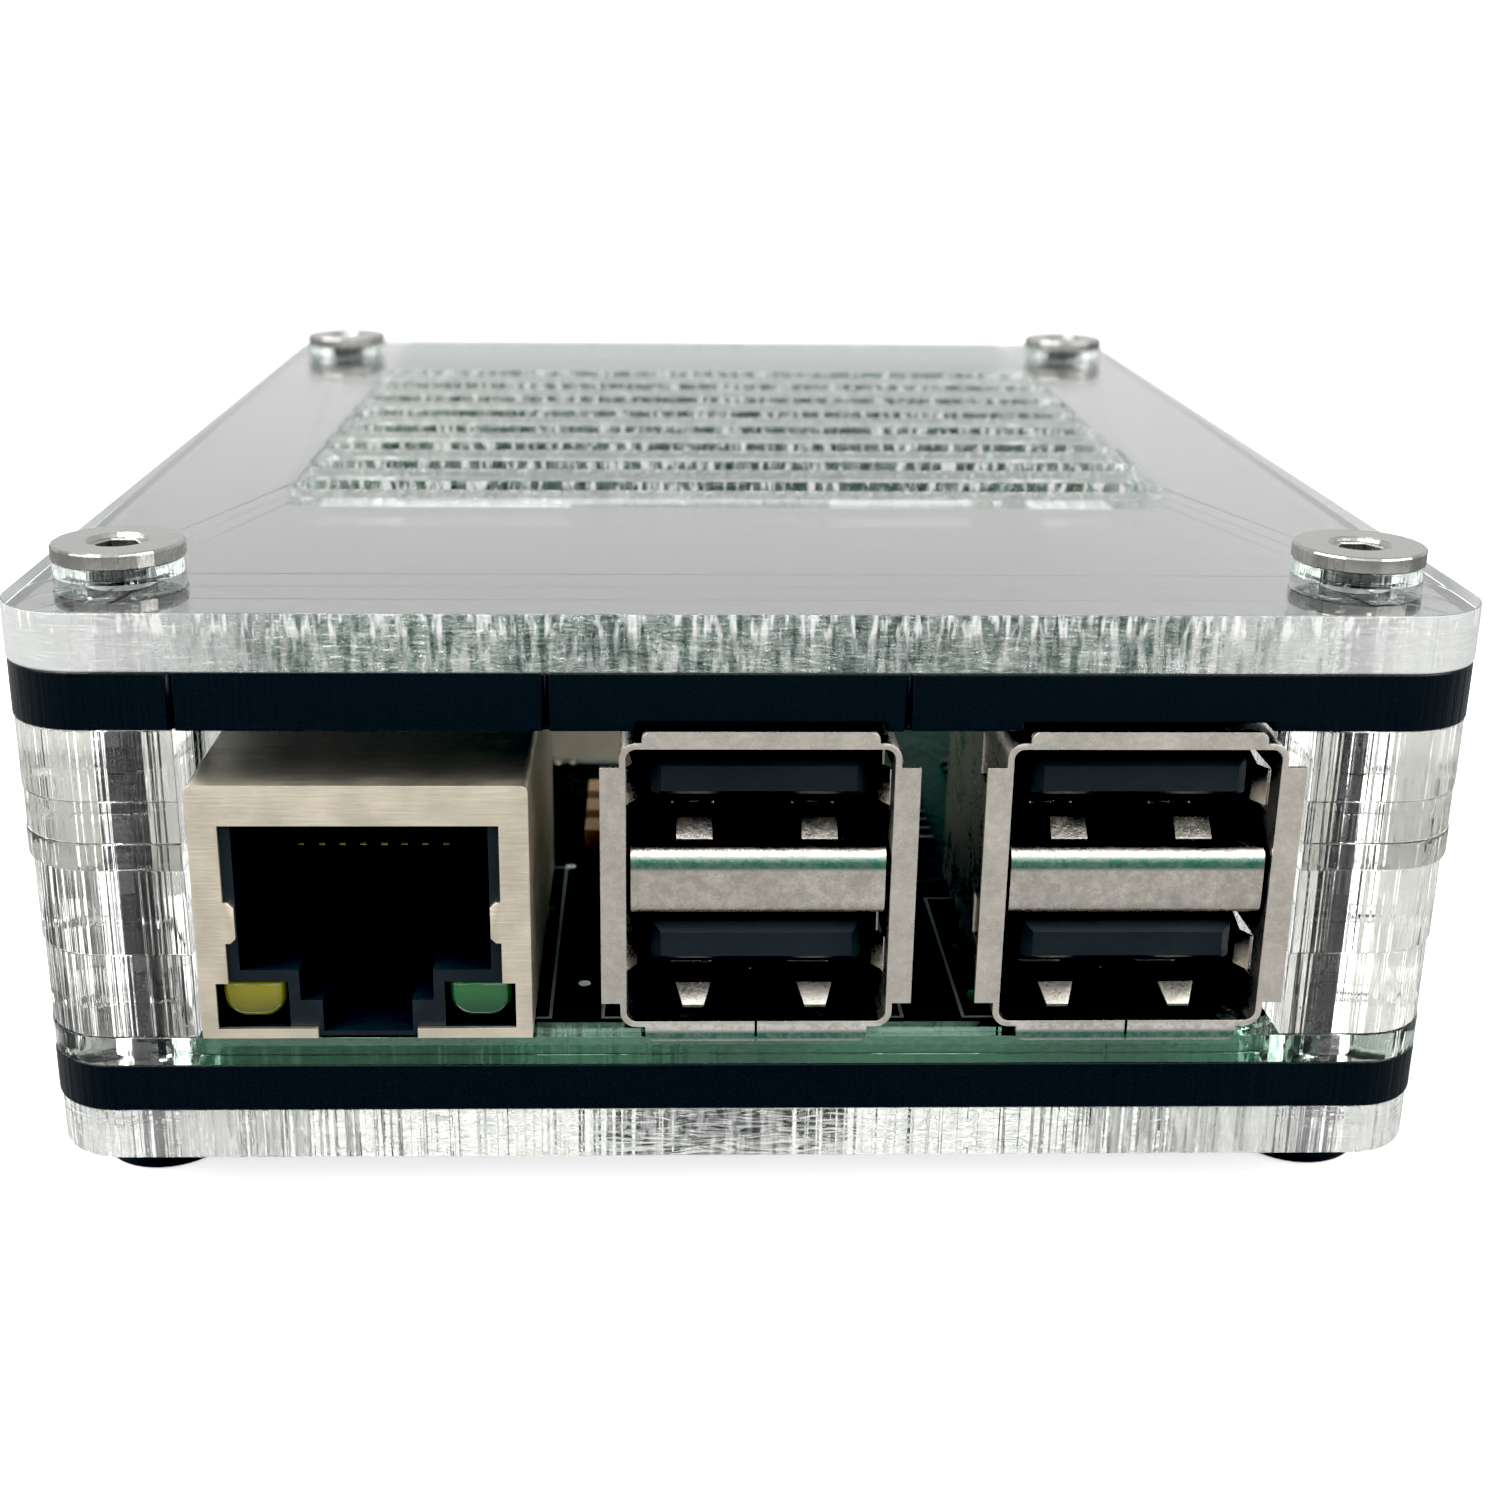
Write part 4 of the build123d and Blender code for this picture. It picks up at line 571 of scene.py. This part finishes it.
# ---------------------------------------------------------------- mesh building blocks
def add_piece(name, build, material, replaced=()):
    """A new mesh piece that rides with the case; build fills a bmesh in metres."""
    mesh = bpy.data.meshes.new(name)
    shape = bmesh.new()
    build(shape)
    shape.to_mesh(mesh)
    shape.free()
    mesh.materials.append(MATERIALS[material])
    obj = bpy.data.objects.new(name, mesh)
    bpy.context.scene.collection.objects.link(obj)
    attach(obj, ROOT)
    if replaced:
        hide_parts(*replaced)
    return obj


def add_loop(shape, centre, height, sides, radius_at):
    """Level loop of vertices around a centre; radius_at gives the radius at an angle."""
    loop = []
    for i in range(sides):
        angle = 2 * math.pi * i / sides
        radius = radius_at(angle)
        x = centre[0] + radius * math.cos(angle)
        y = centre[1] + radius * math.sin(angle)
        loop.append(shape.verts.new((x, y, height)))
    return loop


def add_circle(shape, centre, radius, height, sides):
    return add_loop(shape, centre, height, sides, lambda angle: radius)


def join_loops(shape, lower, upper, smooth=False):
    """Quads between two loops with the same number of vertices."""
    for i in range(len(lower)):
        after = (i + 1) % len(lower)
        face = shape.faces.new((lower[i], lower[after], upper[after], upper[i]))
        face.smooth = smooth


def add_lathe(shape, centre, profile, sides):
    """Closed solid of revolution about a vertical axis; profile holds (radius, height) from bottom to top."""
    loops = [add_circle(shape, centre, radius, height, sides) for radius, height in profile]
    for lower, upper in zip(loops, loops[1:]):
        join_loops(shape, lower, upper, smooth=True)
    shape.faces.new(tuple(reversed(loops[0])))
    shape.faces.new(tuple(loops[-1]))


def add_ring(shape, centre, inner, outer, low, high, sides=40):
    """Flat ring with a round hole."""
    corners = ((inner, low), (outer, low), (outer, high), (inner, high))
    loops = [add_circle(shape, centre, radius, height, sides) for radius, height in corners]
    for k in range(4):
        join_loops(shape, loops[k], loops[(k + 1) % 4])


def add_block(shape, low, high):
    """Box between two corners."""
    outline = ((low[0], low[1]), (high[0], low[1]), (high[0], high[1]), (low[0], high[1]))
    bottom = [shape.verts.new((x, y, low[2])) for x, y in outline]
    top = [shape.verts.new((x, y, high[2])) for x, y in outline]
    shape.faces.new(tuple(reversed(bottom)))
    shape.faces.new(tuple(top))
    join_loops(shape, bottom, top)


# ---------------------------------------------------------------- case screws with their threads
HEAD_RADIUS = 3.2 * MM
HEAD_HEIGHT = 0.8 * MM
HEAD_CHAMFER = 0.14 * MM
HEAD_UNDERCUT = 0.05 * MM
SHANK_RADIUS = 1.48 * MM
TIP_SHARE = 0.72
TIP_LENGTH = 1.0 * MM
THREAD_PITCH = 0.5 * MM
THREAD_DEPTH = 0.22 * MM
THREAD_SIDES = 24
THREAD_STEPS = 6
SOCKET_DEPTH = 0.6 * MM
SOCKET_FLATS = 2.0 * MM
SOCKET_LEAD = 0.1 * MM
DISH_DEPTH = 0.2 * MM
DISH_RADIUS = 1.45 * MM
ROUNDING = 0.08 * MM
CREASE_ANGLE = math.radians(38)


def thread_radius(turn_share):
    """Radius of the rounded triangular thread at a share of one turn."""
    ridge = abs(2.0 * (turn_share % 1.0) - 1.0)
    return SHANK_RADIUS - THREAD_DEPTH * (1.0 - min(1.0, 1.15 * ridge))


def hexagon(across_flats):
    """Function that gives the reach of a hexagon at an angle."""
    return lambda angle: across_flats / 2 / math.cos(angle % (math.pi / 3) - math.pi / 6)


def add_threaded_shank(shape, centre, tip, seat):
    """Helical thread from the tapered tip up to the head's seat; returns its top loop."""
    rows = int((seat - tip) / THREAD_PITCH * THREAD_STEPS)
    loops = []
    for row in range(rows + 1):
        height = tip + (seat - tip) * row / rows
        taper = min(1.0, TIP_SHARE + (1.0 - TIP_SHARE) * (height - tip) / TIP_LENGTH)
        loops.append(add_loop(
            shape, centre, height, THREAD_SIDES,
            lambda angle: taper * thread_radius(height / THREAD_PITCH - angle / (2 * math.pi))))
    for lower, upper in zip(loops, loops[1:]):
        join_loops(shape, lower, upper, smooth=True)
    shape.faces.new(tuple(reversed(loops[0])))
    return loops[-1]


def add_screw(shape, centre, tip, top):
    """Screw with a helical thread, a low chamfered head with a dished middle, and a hexagon socket."""
    seat = top - HEAD_HEIGHT
    dish = top - DISH_DEPTH
    previous = add_threaded_shank(shape, centre, tip, seat)
    rounds = [
        (HEAD_RADIUS - HEAD_UNDERCUT, seat),
        (HEAD_RADIUS, seat + HEAD_UNDERCUT),
        (HEAD_RADIUS, top - HEAD_CHAMFER),
        (HEAD_RADIUS - 0.35 * HEAD_CHAMFER, top - 0.35 * HEAD_CHAMFER),
        (HEAD_RADIUS - HEAD_CHAMFER, top),
        (DISH_RADIUS + SOCKET_LEAD, top),
        (DISH_RADIUS, top - ROUNDING),
        (DISH_RADIUS - SOCKET_LEAD, dish),
    ]
    hexagons = [
        (SOCKET_FLATS + SOCKET_LEAD, dish),
        (SOCKET_FLATS, dish - ROUNDING),
        (SOCKET_FLATS, dish - SOCKET_DEPTH),
    ]
    loops = [add_circle(shape, centre, radius, height, THREAD_SIDES) for radius, height in rounds]
    loops += [add_loop(shape, centre, height, THREAD_SIDES, hexagon(flats)) for flats, height in hexagons]
    for loop in loops:
        join_loops(shape, previous, loop)
        previous = loop
    shape.faces.new(tuple(previous))


def build_screws(shape):
    """Four screws in the corners of the CAD node's box."""
    low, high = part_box("case_screws")
    for x in (low[0] + HEAD_RADIUS, high[0] - HEAD_RADIUS):
        for y in (low[1] + HEAD_RADIUS, high[1] - HEAD_RADIUS):
            add_screw(shape, (x, y), low[2], high[2])


screws = add_piece("threaded_screws", build_screws, "screw_steel", replaced=("case_screws",))
screw_creases = screws.modifiers.new("creases", "EDGE_SPLIT")
screw_creases.split_angle = CREASE_ANGLE


# ---------------------------------------------------------------- details on the board
board_low, board_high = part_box("circuit_board")
BOARD_TOP = board_high[2]
BOARD_BOTTOM = board_low[2]

INK_THICKNESS = 0.02 * MM
INK_WIDTH = 0.18 * MM
EDGE_KEEP_OUT = 0.4 * MM
OUTLINE_MARGIN_MM = {
    "soc_substrate": 0.5, "memory_chip": 0.4, "network_chip": 0.45, "power_chip": 0.35,
    "gpio_header_base": 0.35, "poe_header_base": 0.3, "camera_connector": 0.35, "display_connector": 0.35,
    "ethernet_shield": 0.8, "usb_shell_left": 0.1, "usb_shell_right": 0.1, "audio_jack": 0.3,
    "hdmi_shell": 0.4, "power_port_shell": 0.4,
}


def add_outline(shape, x0, y0, x1, y1):
    """Printed rectangle on the board, as four thin strips of ink that meet at the corners."""
    top = BOARD_TOP + INK_THICKNESS
    add_block(shape, (x0, y0, BOARD_TOP), (x1, y0 + INK_WIDTH, top))
    add_block(shape, (x0, y1 - INK_WIDTH, BOARD_TOP), (x1, y1, top))
    add_block(shape, (x0, y0 + INK_WIDTH, BOARD_TOP), (x0 + INK_WIDTH, y1 - INK_WIDTH, top))
    add_block(shape, (x1 - INK_WIDTH, y0 + INK_WIDTH, BOARD_TOP), (x1, y1 - INK_WIDTH, top))


def build_board_ink(shape):
    """Outlines printed around the packages, kept on the board."""
    for name, margin_mm in OUTLINE_MARGIN_MM.items():
        low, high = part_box(name)
        margin = margin_mm * MM
        inset = EDGE_KEEP_OUT + margin

        def kept(value, axis):
            """Coordinate moved inward where the outline would run off the board."""
            return min(max(value, board_low[axis] + inset), board_high[axis] - inset)

        add_outline(shape, kept(low[0], 0) - margin, kept(low[1], 1) - margin,
                    kept(high[0], 0) + margin, kept(high[1], 1) + margin)


MOUNT_INSET = 3.5 * MM
MOUNT_SPACING = 58.0 * MM
HOLE_RADIUS = 1.38 * MM
RING_RADIUS = 3.0 * MM
RING_THICKNESS = 0.03 * MM


def build_mount_rings(shape):
    """Bare plated rings around the board's four mounting holes, on both faces."""
    rear = board_high[1] - MOUNT_INSET
    for x in (board_low[0] + MOUNT_INSET, board_high[0] - MOUNT_INSET):
        for y in (rear, rear - MOUNT_SPACING):
            add_ring(shape, (x, y), HOLE_RADIUS, RING_RADIUS, BOARD_TOP, BOARD_TOP + RING_THICKNESS)
            add_ring(shape, (x, y), HOLE_RADIUS, RING_RADIUS, BOARD_BOTTOM - RING_THICKNESS, BOARD_BOTTOM)


PAD_SEED = 7
PAD_COUNT = 150
PAD_RADIUS = 0.32 * MM
PAD_EDGE_INSET = 2.0 * MM
PAD_CLEARANCE = 0.3 * MM
PAD_HEADROOM = 0.1 * MM
OFF_BOARD_NODES = {name for name, slot in SLOT_OF.items() if "acrylic" in slot} | {
    "circuit_board", "case_screws", "screw_washers", "foot_nuts", "header_pins", "memory_card"}


def is_free(x, y, radius, low, high, taken):
    """True where a pad between two heights keeps clear of every box in taken."""
    reach = radius + PAD_CLEARANCE
    for box_low, box_high in taken:
        beside = x < box_low[0] - reach or x > box_high[0] + reach
        before = y < box_low[1] - reach or y > box_high[1] + reach
        over = high + PAD_HEADROOM < box_low[2] or low - PAD_HEADROOM > box_high[2]
        if not (beside or before or over):
            return False
    return True


def build_test_pads(shape):
    """Small plated pads scattered over the free parts of the board's upper and lower face."""
    placing = random.Random(PAD_SEED)
    taken = [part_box(name) for name in nodes if name not in OFF_BOARD_NODES]
    faces = ((BOARD_TOP, BOARD_TOP + RING_THICKNESS), (BOARD_BOTTOM - RING_THICKNESS, BOARD_BOTTOM))
    for _ in range(PAD_COUNT):
        x = placing.uniform(board_low[0] + PAD_EDGE_INSET, board_high[0] - PAD_EDGE_INSET)
        y = placing.uniform(board_low[1] + PAD_EDGE_INSET, board_high[1] - PAD_EDGE_INSET)
        radius = placing.choice((PAD_RADIUS, 0.7 * PAD_RADIUS, 1.5 * PAD_RADIUS))
        for low, high in faces:
            if is_free(x, y, radius, low, high, taken):
                add_lathe(shape, (x, y), [(radius, low), (radius, high)], sides=16)


SOLDER_HEIGHT = 0.75 * MM
SOLDER_PROFILE = [
    (0.34 * MM, BOARD_BOTTOM - SOLDER_HEIGHT),
    (0.46 * MM, BOARD_BOTTOM - 0.55 * SOLDER_HEIGHT),
    (0.62 * MM, BOARD_BOTTOM - 0.25 * SOLDER_HEIGHT),
    (0.85 * MM, BOARD_BOTTOM),
]
HEADER_COLUMNS = {"gpio_header_base": 20, "poe_header_base": 2}
HEADER_ROWS = 2


def build_solder_joints(shape):
    """A small cone of solder around every header pin where it leaves the underside of the board."""
    for name, columns in HEADER_COLUMNS.items():
        low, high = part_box(name)
        for row in range(HEADER_ROWS):
            x = low[0] + (high[0] - low[0]) * (row + 0.5) / HEADER_ROWS
            for column in range(columns):
                y = low[1] + (high[1] - low[1]) * (column + 0.5) / columns
                add_lathe(shape, (x, y), SOLDER_PROFILE, sides=16)


add_piece("board_ink", build_board_ink, "board_ink")
add_piece("mount_rings", build_mount_rings, "solder_tin")
add_piece("test_pads", build_test_pads, "solder_tin")
add_piece("solder_joints", build_solder_joints, "solder_tin")


# ---------------------------------------------------------------- stage, light and camera
FLOOR_REACH = 3.0
FLOOR_DROP = 0.05 * MM
AIM = Vector((0, 0, 0.01))

BACKDROP_LEVEL = 0.86
CEILING_LEVEL = 0.90
DIFFUSE_DIMMING = 0.55
CAMERA_LEVEL = 1.1

CAMERA_POSITION = Vector((-4.27, -132.2, 54.98)) * MM
CAMERA_YAW = 0.02554
CAMERA_PITCH = 0.33434
CAMERA_ROLL = -0.00904
LENS_MM = 47.91343
SENSOR_MM = 36.0
LENS_SHIFT = 0.0301
FOCUS_POINT = (0.0, -0.045, 0.015)
APERTURE = 60.0


def floor():
    """Wide sheet of paper just under the feet."""
    mesh = bpy.data.meshes.new("floor")
    corners = [(x * FLOOR_REACH, y * FLOOR_REACH, 0) for x, y in ((-1, -1), (1, -1), (1, 1), (-1, 1))]
    mesh.from_pydata(corners, [], [(0, 1, 2, 3)])
    obj = bpy.data.objects.new("floor", mesh)
    obj.location.z = -FLOOR_DROP
    mesh.materials.append(pale_floor("floor_paint"))
    bpy.context.scene.collection.objects.link(obj)


def softbox(name, location, size, power):
    """Square light panel that faces the object."""
    data = bpy.data.lights.new(name, "AREA")
    data.shape = "RECTANGLE"
    data.size = size
    data.size_y = size
    data.energy = power
    obj = bpy.data.objects.new(name, data)
    obj.location = location
    obj.rotation_mode = "QUATERNION"
    obj.rotation_quaternion = (AIM - Vector(location)).to_track_quat("-Z", "Y")
    bpy.context.scene.collection.objects.link(obj)


def world():
    """White backdrop behind the object, a striped dim room behind the camera, and a bright ceiling panel.

    Rays that have passed through clear plastic see bright stripes all around, and the camera sees white.
    """
    studio = bpy.data.worlds.new("studio")
    bpy.context.scene.world = studio
    studio.use_nodes = True
    tree = studio.node_tree

    def calculate(operation, *values, clamp=False):
        node = tree.nodes.new("ShaderNodeMath")
        node.operation = operation
        node.use_clamp = clamp
        for socket, value in zip(node.inputs, values):
            if isinstance(value, bpy.types.NodeSocket):
                tree.links.new(value, socket)
            else:
                socket.default_value = value
        return node.outputs[0]

    split = tree.nodes.new("ShaderNodeSeparateXYZ")
    tree.links.new(tree.nodes.new("ShaderNodeTexCoord").outputs["Generated"], split.inputs[0])
    east, north, up = split.outputs
    path = tree.nodes.new("ShaderNodeLightPath")

    behind = calculate("MULTIPLY_ADD", north, 2.5, 0.35, clamp=True)
    ceiling = calculate("MULTIPLY_ADD", up, 4.0, -2.2, clamp=True)
    ahead = calculate("MULTIPLY_ADD", north, -2.5, 0.2, clamp=True)
    stripes = calculate("SINE", calculate("MULTIPLY", calculate("ARCTAN2", east, north), 9.0))
    gaps = calculate("MULTIPLY_ADD", stripes, 3.0, 1.9, clamp=True)
    front = calculate("MULTIPLY", ahead, calculate("MULTIPLY_ADD", gaps, 1.10, 0.50))
    level = calculate("MAXIMUM", calculate("MULTIPLY", behind, BACKDROP_LEVEL),
                      calculate("MULTIPLY", ceiling, CEILING_LEVEL))
    level = calculate("MAXIMUM", level, front)
    dimming = calculate("MULTIPLY_ADD", path.outputs["Is Diffuse Ray"], -DIFFUSE_DIMMING, 1.0)
    level = calculate("MULTIPLY", level, dimming)
    sides = calculate("MULTIPLY_ADD", calculate("ABSOLUTE", east), 1.2, 0.65)
    sides = calculate("MULTIPLY", sides, calculate("MULTIPLY_ADD", gaps, 0.70, 0.30))
    level = calculate("MAXIMUM", level, calculate("MULTIPLY", path.outputs["Is Transmission Ray"], sides))
    level = calculate("MAXIMUM", level, calculate("MULTIPLY", path.outputs["Is Camera Ray"], CAMERA_LEVEL))
    background = tree.nodes["Background"]
    tree.links.new(level, background.inputs["Strength"])
    background.inputs["Color"].default_value = (1.0, 1.0, 1.0, 1.0)


def camera():
    """Camera in front of the connectors and a little above the case, focused on the front edge."""
    level_reach = math.cos(CAMERA_PITCH)
    forward = Vector((math.sin(CAMERA_YAW) * level_reach, math.cos(CAMERA_YAW) * level_reach,
                      -math.sin(CAMERA_PITCH)))
    right = Vector((math.cos(CAMERA_YAW), -math.sin(CAMERA_YAW), 0.0))
    down = forward.cross(right)
    x_axis = math.cos(CAMERA_ROLL) * right + math.sin(CAMERA_ROLL) * down
    y_axis = math.sin(CAMERA_ROLL) * right - math.cos(CAMERA_ROLL) * down
    data = bpy.data.cameras.new("camera")
    data.sensor_width = SENSOR_MM
    data.lens = LENS_MM
    data.shift_x = LENS_SHIFT
    data.clip_start = 0.005
    data.clip_end = 50.0
    obj = bpy.data.objects.new("camera", data)
    turn = Matrix((x_axis, y_axis, -forward)).transposed()
    obj.matrix_world = Matrix.Translation(CAMERA_POSITION) @ turn.to_4x4()
    bpy.context.scene.collection.objects.link(obj)
    bpy.context.scene.camera = obj
    focus = bpy.data.objects.new("focus", None)
    focus.location = FOCUS_POINT
    bpy.context.scene.collection.objects.link(focus)
    data.dof.use_dof = True
    data.dof.focus_object = focus
    data.dof.aperture_fstop = APERTURE


floor()
world()
softbox("key", location=(-0.35, -0.15, 0.55), size=0.5, power=6.0)
softbox("fill", location=(0.45, -0.35, 0.35), size=0.4, power=2.5)
camera()

# Light takes many turns inside the clear sheets before it leaves them.
cycles = bpy.context.scene.cycles
cycles.use_denoising = True
cycles.max_bounces = 28
cycles.transmission_bounces = 20
cycles.transparent_max_bounces = 32
cycles.glossy_bounces = 24
cycles.diffuse_bounces = 4
view = bpy.context.scene.view_settings
view.view_transform = "Standard"
view.use_curve_mapping = True
view.curve_mapping.black_level = (0.012, 0.010, 0.008)
view.curve_mapping.white_level = (0.90, 0.90, 0.90)
